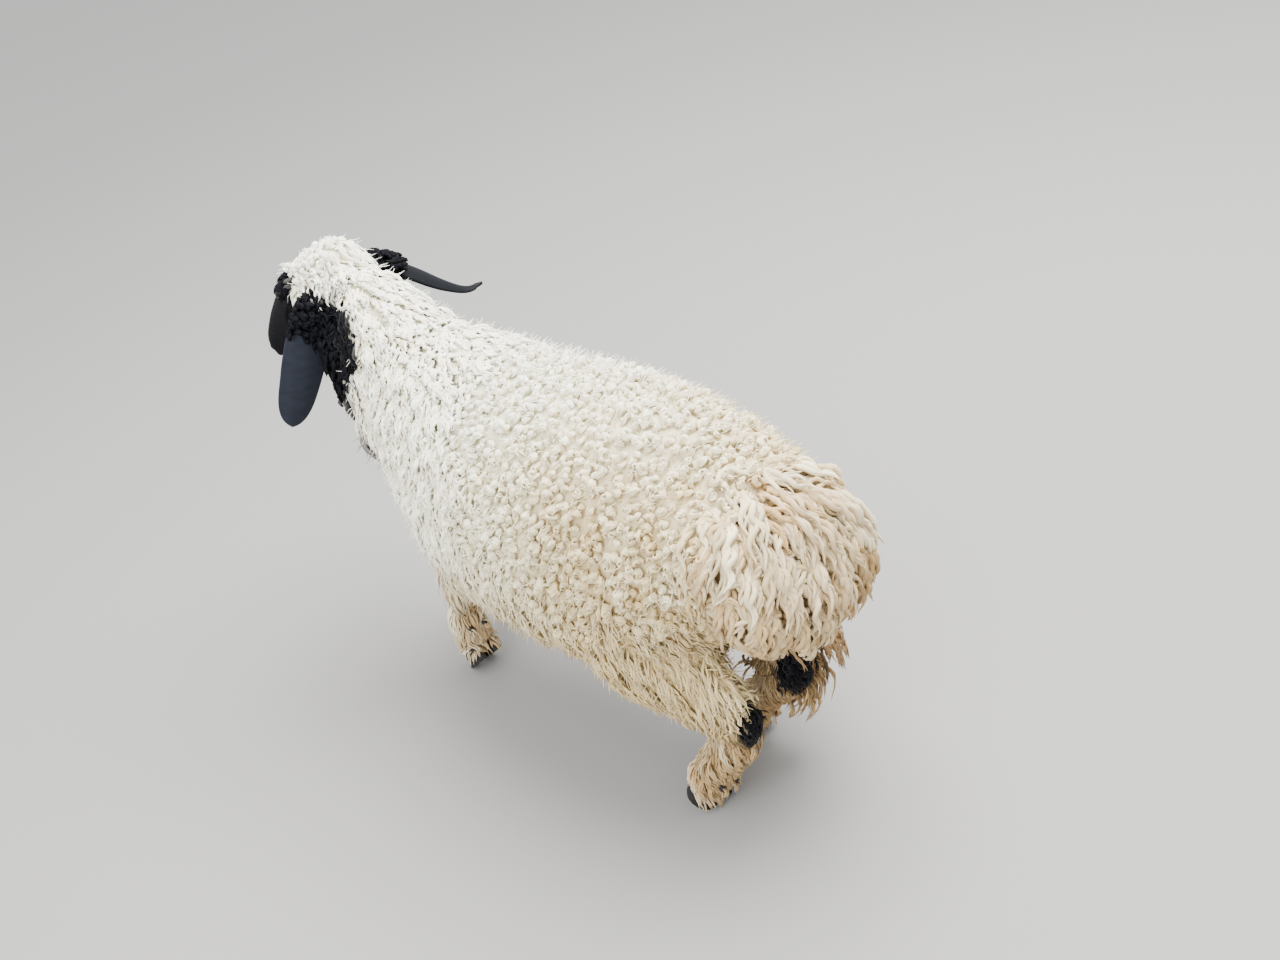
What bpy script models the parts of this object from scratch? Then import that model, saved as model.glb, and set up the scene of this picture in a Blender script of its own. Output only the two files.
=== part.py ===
"""Fat-tailed sheep with a short fleece: a still, life-size model, in metres.

The sheep stands on the floor, z = 0, and faces -Y, so its left side is at +X. Its flesh is lofted along the
trunk, neck, head, tail and legs, merged into one smooth form and parted with thin cuts. Ears, eyes, claws and
dewclaws are pieces of their own. Everything is measured to the outside of the coat.
"""

import math

import bmesh
import bpy
from mathutils import Matrix, Vector

# Driving dimensions.
BACK_HEIGHT = 0.652      # floor to the top of the back, over the wool
TRUNK_WIDTH = 0.420      # across the ribs, over the wool
CUT = 0.0004             # thin cut between neighbouring pieces
VOXEL = 0.0050           # grid of the merge
FLESH_TRIANGLES = 4300   # of the merged form, before it is parted
SMOOTHING = 9            # passes that soften the merge
CORONET = 0.030          # sole to the line where hair meets horn
EYE_RADIUS = 0.0135
EYE = Vector((0.0450, -0.088, 0.021))  # centre of the left eyeball, in the head's axes

# The head's place and turn: the middle of the poll, and the head's own axes with the muzzle along -Y.
POLL = Vector((0.002, -0.470, 0.714))
HEAD_YAW = math.radians(15)      # to its left
HEAD_PITCH = math.radians(24)    # muzzle down
HEAD_ROLL = math.radians(1)      # left ear down

LEFT, RIGHT = 1, -1
# Each foot: side, whether it is a foreleg, the ground point below its coronet, its pitch (heel up), and the x
# and y of its knee or hock.
FEET = {
    "foreleg_left": (LEFT, True, Vector((0.079, -0.254, 0)), math.radians(38), Vector((0.084, -0.275, 0))),
    "foreleg_right": (RIGHT, True, Vector((-0.085, -0.372, 0)), 0.0, Vector((-0.085, -0.340, 0))),
    "hindleg_left": (LEFT, False, Vector((0.095, 0.345, 0)), 0.0, Vector((0.078, 0.440, 0))),
    "hindleg_right": (RIGHT, False, Vector((-0.056, 0.283, 0)), 0.0, Vector((-0.048, 0.428, 0))),
}


def clear_scene():
    for old in list(bpy.data.objects):
        bpy.data.objects.remove(old, do_unlink=True)


def material(name, colour, roughness):
    """A plain Principled material."""
    made = bpy.data.materials.new(name)
    made.use_nodes = True
    shader = made.node_tree.nodes["Principled BSDF"]
    shader.inputs["Base Color"].default_value = (*colour, 1.0)
    shader.inputs["Roughness"].default_value = roughness
    shader.inputs["Metallic"].default_value = 0.0
    made.diffuse_color = (*colour, 1.0)
    return made


def head_frame():
    """The head's axes: X to its left, -Y out of the muzzle, Z up from the poll."""
    turn = (
        Matrix.Rotation(HEAD_YAW, 4, "Z")
        @ Matrix.Rotation(HEAD_PITCH, 4, "X")
        @ Matrix.Rotation(HEAD_ROLL, 4, "Y")
    )
    return Matrix.Translation(POLL) @ turn


def foot_frame(name):
    """A foot's axes: -Y out of the toe, Z up the hoof; a lifted heel turns it about its toe."""
    _, _, foot, pitch, _ = FEET[name]
    toe = Vector((0, -0.036, 0))
    turn = Matrix.Translation(toe) @ Matrix.Rotation(pitch, 4, "X") @ Matrix.Translation(-toe)
    return Matrix.Translation(foot) @ turn


def catmull(before, start, end, after, t):
    """A number between start and end, on a smooth curve through all four."""
    return 0.5 * (
        2 * start
        + (end - before) * t
        + (2 * before - 5 * start + 4 * end - after) * t * t
        + (3 * start - before - 3 * end + after) * t**3
    )


def smooth_rows(rows, steps):
    """The rows with steps - 1 more between each pair, on smooth curves through every column."""
    made = []
    for i in range(len(rows) - 1):
        near = [rows[max(i - 1, 0)], rows[i], rows[i + 1], rows[min(i + 2, len(rows) - 1)]]
        for step in range(steps):
            made.append([catmull(*column, step / steps) for column in zip(*near)])
    return made + [list(rows[-1])]


def ring_rim(ring, last):
    """The edges of two rings, each ring's own."""
    rim = set()
    for loop in (ring, last):
        own = set(loop)
        rim |= {e for v in loop for e in v.link_edges if e.other_vert(v) in own}
    return list(rim)


def loft(bm, rows, sides=20, steps=4, place=None, across=Vector((1, 0, 0))):
    """Adds a closed loft to bm. A row is x, y, z, half width, half depth and egg.

    The width runs along across, and the depth square to it and to the way the loft runs. Egg widens a ring on
    the side that its depth points to. place moves the whole loft.
    """
    place = place or Matrix.Identity(4)
    rows = smooth_rows(rows, steps)
    centres = [Vector(row[:3]) for row in rows]
    last = None
    for i, (*_, half_width, half_depth, egg) in enumerate(rows):
        way = (centres[min(i + 1, len(rows) - 1)] - centres[max(i - 1, 0)]).normalized()
        depth = way.cross(across).normalized()
        turn = Matrix((depth.cross(way), depth, way)).transposed()
        ends = i in (0, len(rows) - 1)
        ring = bmesh.ops.create_circle(bm, cap_ends=ends, segments=sides, radius=1.0)["verts"]
        for vert in ring:
            x, y, _ = vert.co
            flat = Vector((x * half_width * (1 + egg * y), y * half_depth, 0))
            vert.co = place @ (centres[i] + turn @ flat)
        if last:
            bmesh.ops.bridge_loops(bm, edges=ring_rim(ring, last))
        last = ring


def add_trunk(bm):
    """Chest, barrel and rump, from front to back."""
    top, half = BACK_HEIGHT, TRUNK_WIDTH / 2
    rows = [  # y, top, bottom, share of the half width
        (-0.388, 0.495, 0.400, 0.20),
        (-0.368, 0.550, 0.335, 0.43),
        (-0.310, top - 0.006, 0.262, 0.64),
        (-0.220, top + 0.008, 0.222, 0.79),
        (-0.100, top - 0.002, 0.200, 0.92),
        (0.020, top - 0.006, 0.188, 0.98),
        (0.140, top + 0.002, 0.188, 1.00),
        (0.260, top + 0.004, 0.210, 0.97),
        (0.360, top - 0.006, 0.262, 0.88),
        (0.440, top - 0.044, 0.312, 0.76),
        (0.500, top - 0.108, 0.370, 0.56),
    ]
    loft(bm, [(0, y, (a + b) / 2, half * w, (a - b) / 2, 0.10) for y, a, b, w in rows], sides=28)


def add_neck(bm):
    """From inside the shoulders up to the poll."""
    rows = [  # x, y, z, half width, half depth, egg
        (0.000, -0.200, 0.465, 0.125, 0.155, 0.0),
        (0.000, -0.290, 0.530, 0.118, 0.140, 0.0),
        (0.000, -0.372, 0.590, 0.100, 0.125, 0.0),
        (0.002, -0.424, 0.642, 0.085, 0.104, 0.0),
        (0.004, -0.466, 0.684, 0.072, 0.072, 0.0),
    ]
    loft(bm, rows, sides=24)


def add_head(bm):
    """Poll, face, muzzle and jaw, in the head's frame."""
    rows = [  # x, y, z, half width, half depth, egg
        (0, 0.055, -0.020, 0.045, 0.048, 0.0),
        (0, 0.022, -0.014, 0.068, 0.076, 0.0),
        (0, -0.030, -0.018, 0.070, 0.082, 0.04),
        (0, -0.080, -0.024, 0.063, 0.077, 0.06),
        (0, -0.125, -0.031, 0.051, 0.065, 0.08),
        (0, -0.165, -0.038, 0.042, 0.056, 0.06),
        (0, -0.200, -0.047, 0.037, 0.048, 0.0),
        (0, -0.228, -0.055, 0.035, 0.039, 0.0),
        (0, -0.243, -0.059, 0.030, 0.031, 0.0),
        (0, -0.252, -0.061, 0.018, 0.018, 0.0),
    ]
    loft(bm, rows, sides=24, place=head_frame())


def pastern(name):
    """The lowest rows of a leg, in the model's axes, from the fetlock through the floor."""
    place = foot_frame(name)
    rows = []
    for y, z, half_width, half_depth in (
        (0.020, 0.076, 0.0290, 0.0300),
        (0.010, 0.050, 0.0300, 0.0320),
        (0.000, 0.024, 0.0300, 0.0340),
        (-0.006, -0.010, 0.0280, 0.0330),
    ):
        rows.append((*(place @ Vector((0, y, z))), half_width, half_depth, 0.0))
    return rows


def add_foreleg(bm, name):
    """From inside the shoulder down to the hoof."""
    side, _, _, _, knee = FEET[name]
    rows = [  # x, y, z, half width, half depth, egg
        (0.080 * side, -0.250, 0.420, 0.052, 0.090, 0.0),
        (0.100 * side, -0.240, 0.335, 0.052, 0.080, 0.0),
        (knee.x, knee.y * 0.45 - 0.140, 0.255, 0.043, 0.054, 0.0),
        (knee.x, knee.y, 0.180, 0.036, 0.038, 0.0),
        (knee.x, (knee.y + pastern(name)[0][1]) / 2, 0.128, 0.029, 0.030, 0.0),
    ]
    loft(bm, rows + pastern(name), sides=16)


def add_hindleg(bm, name):
    """From inside the hip, over stifle and hock, down to the hoof."""
    side, _, _, _, hock = FEET[name]
    rows = [  # x, y, z, half width, half depth, egg
        (0.100 * side, 0.285, 0.480, 0.072, 0.135, 0.0),
        (0.118 * side, 0.285, 0.390, 0.078, 0.135, 0.0),
        (0.118 * side, 0.305, 0.305, 0.068, 0.118, 0.0),
        (hock.x * 0.6 + 0.048 * side, 0.372, 0.246, 0.052, 0.082, 0.0),
        (hock.x, hock.y - 0.004, 0.198, 0.040, 0.046, 0.0),
        (hock.x, hock.y * 0.66 + pastern(name)[0][1] * 0.34, 0.140, 0.033, 0.035, 0.0),
    ]
    loft(bm, rows + pastern(name), sides=16)


def add_tail(bm):
    """The broad fat tail, hanging behind the rump."""
    rows = [  # x, y, z, half width, half depth, egg
        (0, 0.400, 0.500, 0.120, 0.100, 0.0),
        (0, 0.462, 0.508, 0.130, 0.092, 0.0),
        (0, 0.518, 0.482, 0.135, 0.078, 0.0),
        (0, 0.546, 0.425, 0.136, 0.064, 0.0),
        (0, 0.552, 0.365, 0.119, 0.052, 0.0),
        (0, 0.545, 0.318, 0.082, 0.038, 0.0),
        (0, 0.538, 0.296, 0.045, 0.022, 0.0),
    ]
    loft(bm, rows, sides=24)


def add_ear(bm, side):
    """A long hanging ear: the left forward over the cheek, the right swung out with its tip curling up."""
    base = head_frame() @ Vector((0.050 * side, 0.004, -0.014))
    if side == LEFT:
        across = Vector((-0.81, 0.53, -0.27))
        path = (
            (0.000, 0.000, 0.000), (0.035, -0.004, -0.020), (0.060, -0.018, -0.078), (0.073, -0.034, -0.138),
            (0.081, -0.048, -0.190), (0.084, -0.058, -0.220),
        )
    else:
        across = Vector((-0.42, -0.83, -0.36))
        path = (
            (0.000, 0.000, 0.000), (-0.038, 0.002, -0.012), (-0.088, 0.012, -0.055), (-0.136, 0.022, -0.102),
            (-0.172, 0.028, -0.128), (-0.198, 0.034, -0.132),
        )
    sizes = (  # half width, half depth
        (0.016, 0.0100), (0.022, 0.0085), (0.034, 0.0065), (0.038, 0.0055), (0.029, 0.0048), (0.009, 0.0030),
    )
    rows = [(*(base + Vector(spot)), *size, 0.0) for spot, size in zip(path, sizes)]
    loft(bm, rows, sides=12, steps=3, across=across.normalized())


def add_object(name, bm):
    """Makes bm an object of that name."""
    bmesh.ops.recalc_face_normals(bm, faces=bm.faces)
    mesh = bpy.data.meshes.new(name)
    bm.to_mesh(mesh)
    bm.free()
    obj = bpy.data.objects.new(name, mesh)
    bpy.context.collection.objects.link(obj)
    return obj


def merged_flesh():
    """All the lofts as one smooth closed mesh."""
    bm = bmesh.new()
    add_trunk(bm)
    add_neck(bm)
    add_head(bm)
    add_tail(bm)
    for name, (_, front, *_) in FEET.items():
        (add_foreleg if front else add_hindleg)(bm, name)
    flesh = add_object("flesh", bm)
    remesh = flesh.modifiers.new("merge", "REMESH")
    remesh.mode = "VOXEL"
    remesh.voxel_size = VOXEL
    settle(flesh)
    smooth = flesh.modifiers.new("soften", "SMOOTH")
    smooth.factor = 0.5
    smooth.iterations = SMOOTHING
    thin = flesh.modifiers.new("thin", "DECIMATE")
    thin.ratio = FLESH_TRIANGLES / (2 * len(flesh.data.polygons))
    settle(flesh)
    return flesh


def settle(obj):
    """Puts the result of the modifiers into the mesh and removes them."""
    view = bpy.context.evaluated_depsgraph_get()
    view.update()
    made = bpy.data.meshes.new_from_object(obj.evaluated_get(view))
    old = obj.data
    obj.modifiers.clear()
    obj.data = made
    bpy.data.meshes.remove(old)


def cut(obj, cutters, operation="DIFFERENCE"):
    """Cuts the mesh of obj with each of the cutters, which stay as they are."""
    for cutter in cutters:
        boolean = obj.modifiers.new("cut", "BOOLEAN")
        boolean.operation = operation
        boolean.solver = "EXACT"
        boolean.object = cutter
    settle(obj)


def copy_of(obj, name, grow=0.0):
    """A copy of obj, with its surface moved out by grow."""
    made = bpy.data.objects.new(name, obj.data.copy())
    bpy.context.collection.objects.link(made)
    if grow:
        swell = made.modifiers.new("swell", "DISPLACE")
        swell.mid_level = 0.0
        swell.strength = grow
        settle(made)
    return made


def prism(name, outline, ends, axis=0, grow=0.0, place=None):
    """A convex cell: an outline across an axis, between two ends, with every face moved out by grow.

    The outline's points are (y, z) across axis 0 and (x, z) across axis 1, in the axes of place.
    """
    low, high = min(ends) - grow, max(ends) + grow
    middle = sum((Vector(point) for point in outline), Vector((0, 0))) / len(outline)
    sides = []
    for start, end in zip(outline, outline[1:] + outline[:1]):
        out = Vector((end[1] - start[1], start[0] - end[0])).normalized()
        if out.dot(Vector(start) - middle) < 0:
            out.negate()
        sides.append((out, out.dot(Vector(start)) + grow))
    bm = bmesh.new()
    for (a, p), (b, q) in zip(sides[-1:] + sides[:-1], sides):
        det = a.x * b.y - a.y * b.x
        u, v = (p * b.y - q * a.y) / det, (a.x * q - b.x * p) / det
        for w in (low, high):
            bm.verts.new((w, u, v) if axis == 0 else (u, w, v))
    bmesh.ops.convex_hull(bm, input=bm.verts)
    bm.transform(place or Matrix.Identity(4))
    return add_object(name, bm)


def cell(name, grow=0.0):
    """The space that a piece of the flesh is cut out of, with every face moved out by grow."""
    label = name + " cell"
    if name == "head":
        outline = [(0.070, 0.140), (0.000, -0.170), (-0.350, -0.170), (-0.350, 0.140)]
        return prism(label, outline, (-0.150, 0.150), 0, grow, head_frame())
    if name == "muzzle":
        outline = [(-0.112, 0.140), (-0.126, -0.170), (-0.350, -0.170), (-0.350, 0.140)]
        return prism(label, outline, (-0.150, 0.150), 0, grow, head_frame())
    if name == "neck":
        outline = [(-0.240, 0.720), (-0.392, 0.415), (-0.800, 0.415), (-0.800, 0.950), (-0.240, 0.950)]
        return prism(label, outline, (-0.250, 0.250), 0, grow)
    if name == "tail":
        outline = [(0.500, 0.680), (0.500, 0.380), (0.515, 0.262), (0.760, 0.262), (0.760, 0.680)]
        return prism(label, outline, (-0.250, 0.250), 0, grow)
    side, front, *_ = FEET[name]
    inner, outer, ends = (0.225, 0.470, (-0.470, -0.150)) if front else (0.215, 0.520, (0.190, 0.700))
    outline = [(0.004, -0.050), (0.300, -0.050), (0.300, outer), (0.004, inner)]
    return prism(label, [(x * side, z) for x, z in outline], ends, 1, grow)


def below_coronet(name):
    """The space below the line where hair meets horn."""
    outline = [(-0.090, CORONET), (0.090, CORONET), (0.090, -0.090), (-0.090, -0.090)]
    return prism(name + " below", outline, (-0.060, 0.060), 0, 0.0, foot_frame(name))


def ball(name, centre, radius):
    """A ball in the head's frame."""
    bm = bmesh.new()
    place = head_frame() @ Matrix.Translation(centre)
    bmesh.ops.create_uvsphere(bm, u_segments=14, v_segments=9, radius=radius, matrix=place)
    return add_object(name, bm)


def slice_off(bm, point, way):
    """Removes all of bm beyond a plane and closes it there."""
    everything = bm.verts[:] + bm.edges[:] + bm.faces[:]
    made = bmesh.ops.bisect_plane(bm, geom=everything, plane_co=point, plane_no=way, clear_outer=True)
    rim = [item for item in made["geom_cut"] if isinstance(item, bmesh.types.BMEdge)]
    bmesh.ops.edgeloop_fill(bm, edges=rim)


def add_claw(bm, name, side):
    """One half of a cloven hoof: flat on the sole, and flat on the floor where the heel is lifted."""
    rows = [  # x, y, z, half width, half depth, egg
        (0.0166 * side, -0.013, -0.004, 0.0150, 0.0310, 0.25),
        (0.0163 * side, -0.011, 0.006, 0.0147, 0.0300, 0.22),
        (0.0157 * side, -0.007, 0.018, 0.0140, 0.0270, 0.15),
        (0.0146 * side, -0.002, 0.034, 0.0126, 0.0230, 0.05),
        (0.0140 * side, 0.002, 0.046, 0.0120, 0.0220, 0.00),
    ]
    place = foot_frame(name)
    loft(bm, rows, sides=14, steps=2, place=place)
    slice_off(bm, place @ Vector((0, 0, CORONET - CUT)), place.col[2].xyz)
    slice_off(bm, place @ Vector((0, 0, 0)), -place.col[2].xyz)
    slice_off(bm, Vector((0, 0, 0)), Vector((0, 0, -1)))


def add_dewclaw(bm, name, side):
    """A small horn behind the fetlock."""
    rows = [  # x, y, z, half width, half depth, egg
        (0.0110 * side, 0.030, 0.064, 0.0065, 0.0065, 0.0),
        (0.0120 * side, 0.042, 0.058, 0.0062, 0.0058, 0.0),
        (0.0130 * side, 0.050, 0.050, 0.0046, 0.0040, 0.0),
        (0.0132 * side, 0.053, 0.045, 0.0020, 0.0018, 0.0),
    ]
    loft(bm, rows, sides=7, steps=2, place=foot_frame(name))


def look(name):
    """Colour and roughness of a piece."""
    kinds = {
        "trunk": ((0.76, 0.66, 0.53), 0.95), "neck": ((0.82, 0.76, 0.66), 0.95),
        "head": ((0.84, 0.80, 0.72), 0.95), "muzzle": ((0.035, 0.033, 0.034), 0.70),
        "tail": ((0.79, 0.69, 0.54), 0.95), "foreleg": ((0.70, 0.58, 0.44), 0.90),
        "hindleg": ((0.70, 0.57, 0.42), 0.90), "ear": ((0.050, 0.055, 0.070), 0.60),
        "eye": ((0.030, 0.018, 0.010), 0.08), "claw": ((0.045, 0.042, 0.040), 0.45),
        "dewclaw": ((0.060, 0.052, 0.045), 0.50),
    }
    return kinds[name.split("_")[0]]


def finish(obj):
    """Gives a piece its material, and smooth shading up to the sharp edges of its cuts."""
    mesh = obj.data
    mesh.materials.clear()
    mesh.materials.append(material(obj.name + " surface", *look(obj.name)))
    for face in mesh.polygons:
        face.material_index = 0
        face.use_smooth = True
    mesh.set_sharp_from_angle(angle=math.radians(40))


def part_flesh(flesh):
    """Parts the flesh into the trunk and the pieces round it, with a thin cut between neighbours."""
    made = []
    for name in ("head", "neck", "tail", *FEET):
        piece = copy_of(flesh, name)
        cut(piece, [cell(name)], "INTERSECT")
        if name == "head":
            muzzle = copy_of(piece, "muzzle")
            cut(muzzle, [cell("muzzle")], "INTERSECT")
            sockets = [ball("socket", eye_at(side), EYE_RADIUS + CUT) for side in (LEFT, RIGHT)]
            cut(piece, [cell("muzzle", CUT), *sockets])
            made.append(muzzle)
        elif name == "neck":
            cut(piece, [cell("head", CUT)])
        elif name in FEET:
            cut(piece, [below_coronet(name), cell("tail", CUT)])
        made.append(piece)
    cut(flesh, [cell(name, CUT) for name in ("neck", "tail", *FEET)])
    flesh.name = "trunk"
    return [flesh, *made]


def centre(pieces):
    """Moves the pieces so that the origin is below the middle of their common box."""
    spots = [vert.co for obj in pieces for vert in obj.data.vertices]
    middle = [(min(co[i] for co in spots) + max(co[i] for co in spots)) / 2 for i in (0, 1)]
    for obj in pieces:
        obj.data.transform(Matrix.Translation((-middle[0], -middle[1], 0)))


def eye_at(side):
    return Vector((EYE.x * side, EYE.y, EYE.z))


def build():
    clear_scene()
    flesh = merged_flesh()
    swollen = copy_of(flesh, "swollen flesh", 2 * CUT)
    pieces = part_flesh(flesh)
    for side, word in ((LEFT, "left"), (RIGHT, "right")):
        bm = bmesh.new()
        add_ear(bm, side)
        ear = add_object("ear_" + word, bm)
        cut(ear, [swollen])
        pieces += [ear, ball("eye_" + word, eye_at(side), EYE_RADIUS)]
    for name, (foot_side, *_) in FEET.items():
        for side in (LEFT, RIGHT):
            where = name.replace("leg", "") + ("_outer" if side == foot_side else "_inner")
            bm = bmesh.new()
            add_claw(bm, name, side)
            pieces.append(add_object("claw_" + where, bm))
            bm = bmesh.new()
            add_dewclaw(bm, name, side)
            dewclaw = add_object("dewclaw_" + where, bm)
            cut(dewclaw, [swollen])
            pieces.append(dewclaw)
    for obj in list(bpy.data.objects):
        if obj in pieces:
            finish(obj)
        else:
            bpy.data.objects.remove(obj, do_unlink=True)
    centre(pieces)


if __name__ == "__main__":
    build()
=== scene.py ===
"""Dressed model of a shorn fat-tailed sheep: skin, fleece, tail locks, face, eyes, ears and hooves.

The sheep stands on the floor and faces -Y, with its left side at +X. One skin lies inside the solid flesh by
the depth of the coat, and solid locks of wool stand on it. Skin and wool take their colours from one
function, which paints light on top and shade low down and on the thighs, as well as the coat's own colours.
Sizes are in metres.
"""

import math
from functools import cache
from types import SimpleNamespace

import bmesh
import bpy
import numpy as np
from mathutils import Matrix, Vector
from mathutils.bvhtree import BVHTree
from mathutils.kdtree import KDTree


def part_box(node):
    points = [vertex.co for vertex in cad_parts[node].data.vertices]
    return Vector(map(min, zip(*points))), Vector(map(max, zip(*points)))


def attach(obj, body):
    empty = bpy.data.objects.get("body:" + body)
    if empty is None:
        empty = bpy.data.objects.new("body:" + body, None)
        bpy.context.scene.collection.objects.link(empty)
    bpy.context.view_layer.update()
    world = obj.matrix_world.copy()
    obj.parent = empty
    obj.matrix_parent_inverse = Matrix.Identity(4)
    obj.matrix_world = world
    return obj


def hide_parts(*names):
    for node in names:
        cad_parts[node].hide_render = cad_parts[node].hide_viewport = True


bl_info = {
    "name": "Shorn sheep",
    "version": (1, 0, 0),
    "blender": (4, 5, 0),
    "location": "3D View > Sidebar > Sheep",
    "description": "Builds the skin, fleece, face and feet of a fat-tailed sheep over its solid model",
    "category": "Mesh",
}

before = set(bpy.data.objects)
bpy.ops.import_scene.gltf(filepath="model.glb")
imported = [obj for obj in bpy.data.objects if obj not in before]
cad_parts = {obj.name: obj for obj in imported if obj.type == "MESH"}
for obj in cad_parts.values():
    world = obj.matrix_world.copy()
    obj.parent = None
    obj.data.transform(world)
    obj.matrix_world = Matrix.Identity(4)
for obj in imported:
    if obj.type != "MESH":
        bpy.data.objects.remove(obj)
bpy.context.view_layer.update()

FLESH = (
    "trunk", "neck", "head", "muzzle", "tail",
    "foreleg_left", "foreleg_right", "hindleg_left", "hindleg_right",
)
SIDES = {"left": 1, "right": -1}

# The head's own axes: X to its left, -Y out of the muzzle, Z up from the middle of the poll.
HEAD_HEADING, HEAD_DROOP, HEAD_TILT = (math.radians(angle) for angle in (15, 24, 1))
HEAD = np.array(
    Matrix.Rotation(HEAD_HEADING, 3, "Z")
    @ Matrix.Rotation(HEAD_DROOP, 3, "X")
    @ Matrix.Rotation(HEAD_TILT, 3, "Y")
)
EYE_PLACE = np.array([0.0450, -0.088, 0.021])  # of the left eyeball, in the head's axes
EYE_RADIUS = 0.0135
EAR_ROOT = np.array([0.050, 0.004, -0.014])  # of the left ear, in the head's axes
NOSTRIL = np.array([0.0175, -0.246, -0.049])  # the left one's middle, in the head's axes
MUZZLE_TIP = -0.252  # along the head's own Y

# Depth of the coat off the skin.
BODY_DEPTH = 0.015
LEG_DEPTH = 0.0055
FACE_DEPTH = 0.0016
LID_DEPTH = 0.0022

LEAST_HEIGHT = 0.0008  # of wool over the floor
CURL_LENGTH = 0.009  # of a pearl or ringlet, along the coat
PATCH = 0.003  # side of a lock's patch on the unwrap
DOWN = np.array([0.0, 0.0, -1.0])

# The wool's colour at its root, as a share of the tip's: darker, partly the wool's own root tone and partly
# painted shade in the crevices between the locks.
ROOT_TINT = np.array([0.88, 0.84, 0.77])
WAVE_ROOT_TINT = np.array([0.94, 0.92, 0.86])
TAIL_ROOT_TINT = np.array([0.76, 0.66, 0.52])
DARK_ROOT_SHARE = 0.6
DARKEST, PALEST = 0.0015, 0.95  # that any lock may be


def middle(node):
    """The middle of a node's box."""
    low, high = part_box(node)
    return np.array((low + high) / 2)


def hock(node, top=0.215):
    """The hindmost corner of a hind leg below its thigh."""
    corners = (vert.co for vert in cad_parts[node].data.vertices)
    return np.array(max((co for co in corners if co.z < top), key=lambda co: co.y))


POLL = (middle("eye_left") + middle("eye_right")) / 2 - HEAD @ (EYE_PLACE * [0, 1, 1])
TAIL_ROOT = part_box("tail")[0].y  # where the tail begins, along the sheep's Y
TAIL_HEAD = np.array([0.020, TAIL_ROOT - 0.012, 0.575])  # from where the tail's locks fan out
HOCKS = [hock(node) for node in ("hindleg_left", "hindleg_right")]


# Arithmetic on arrays of points.


def to_head(points):
    """Points in the head's own axes."""
    return (points - POLL) @ HEAD


def from_head(points):
    """Points of the head's own axes in the sheep's."""
    return points @ HEAD.T + POLL


def ramp(value, start, end):
    """0 at start and 1 at end, easing in and out."""
    share = np.clip((value - start) / (end - start), 0, 1)
    return share * share * (3 - 2 * share)


def mix(first, second, share):
    """The first where share is 0, the second where it is 1."""
    share = np.asarray(share)[..., None]
    return first * (1 - share) + second * share


def unit(vectors):
    """Vectors of length 1."""
    return vectors / np.maximum(np.linalg.norm(vectors, axis=-1, keepdims=True), 1e-9)


def mottle(points, size, seed, waves=9):
    """Soft blotches of about that size, from -1 to 1, as a sum of waves."""
    rng = np.random.default_rng(seed)
    ways = unit(rng.normal(size=(waves, 3))) * (2 * math.pi / size) * rng.uniform(0.6, 1.5, (waves, 1))
    return np.cos(points @ ways.T + rng.uniform(0, 2 * math.pi, waves)).sum(1) / (waves / 2)


# Regions: the share, from 0 to 1, in which each point belongs to a part of the sheep.


def head_share(points):
    """1 on the head, 0 behind the jaw."""
    q = to_head(points)
    return ramp(q[:, 1], 0.050, 0.010) * ramp(q[:, 2], -0.190, -0.140)


def face_share(points):
    """1 where the hair of the face is short."""
    q = to_head(points)
    edge = -0.122 + (0.044 - 0.018 * ramp(np.abs(q[:, 0]), 0.045, 0.030)) * ramp(q[:, 2], -0.030, 0.010)
    return ramp(q[:, 1], edge + 0.008, edge - 0.008) * head_share(points)


def tail_share(points):
    """1 on the fat tail."""
    return ramp(points[:, 1], TAIL_ROOT - 0.030, TAIL_ROOT + 0.025) * ramp(points[:, 2], 0.250, 0.290)


def leg_share(points):
    """1 on the lower legs, 0 on the body."""
    return ramp(points[:, 2], 0.215, 0.165)


def eye_gap(points):
    """Distance to the nearer eye's middle."""
    q = to_head(points)
    return np.minimum(*(np.linalg.norm(q - EYE_PLACE * [side, 1, 1], axis=1) for side in (1, -1)))


def jaw_share(points):
    """1 along the jaw and the side of the throat, where the wool is full."""
    q = to_head(points)
    q[:, 0] = np.abs(q[:, 0])
    start, way = np.array([0.090, -0.050, -0.110]), np.array([0.030, 0.060, -0.120])
    along = np.clip((q - start) @ way / (way @ way), 0, 1)
    return ramp(np.linalg.norm(q - start - along[:, None] * way, axis=1), 0.080, 0.045)


def throat_share(points):
    """1 down the front of the neck, where the coat is streaked dark grey."""
    start, way = np.array([-0.375, 0.570]), np.array([0.115, -0.165])
    spot = points[:, 1:] - start
    along = spot @ way / (way @ way)
    behind = spot @ unit(np.array([0.165, 0.115]))
    return ramp(behind, 0.062, 0.036) * ramp(along, -0.15, 0.05) * ramp(along, 1.15, 0.85) * (1 - 0.3 * along)


def black_share(points):
    """1 where the coat is black: face, cheeks, throat, rings round the eyes, and a patch on each hock."""
    q = to_head(points)
    ragged = 0.006 * mottle(points, 0.020, 3)
    outer = ramp(np.abs(q[:, 0]), 0.028, 0.042)
    edge = -0.014 + 0.064 * ramp(q[:, 1], -0.040, -0.082) * outer
    back = 0.052 + 0.022 * ramp(np.abs(q[:, 0]), 0.058, 0.070) - 0.050 * ramp(q[:, 2], -0.110, -0.165)
    side = ramp(q[:, 2] + ragged, edge + 0.006, edge - 0.006) * ramp(q[:, 1] + ragged - back, 0.010, -0.010)
    side *= np.maximum(outer, ramp(q[:, 2], -0.060, -0.090))
    brow = 0.005 * ramp(q[:, 2], 0.000, 0.025) * (1 - outer)
    face = ramp(q[:, 1] + ragged * 0.6 + brow, -0.084, -0.096)
    head = np.maximum(side, face) * ramp(q[:, 2], -0.200, -0.160)
    head = np.maximum(head, ramp(eye_gap(points), 0.045, 0.036))
    hocks = np.max([ramp(np.linalg.norm((points - spot) * [1.1, 0.9, 0.85], axis=1) / size, 0.044, 0.034)
                    for spot, size in zip(HOCKS, (1.0, 1.3))], axis=0)
    return np.maximum(head, hocks)


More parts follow.
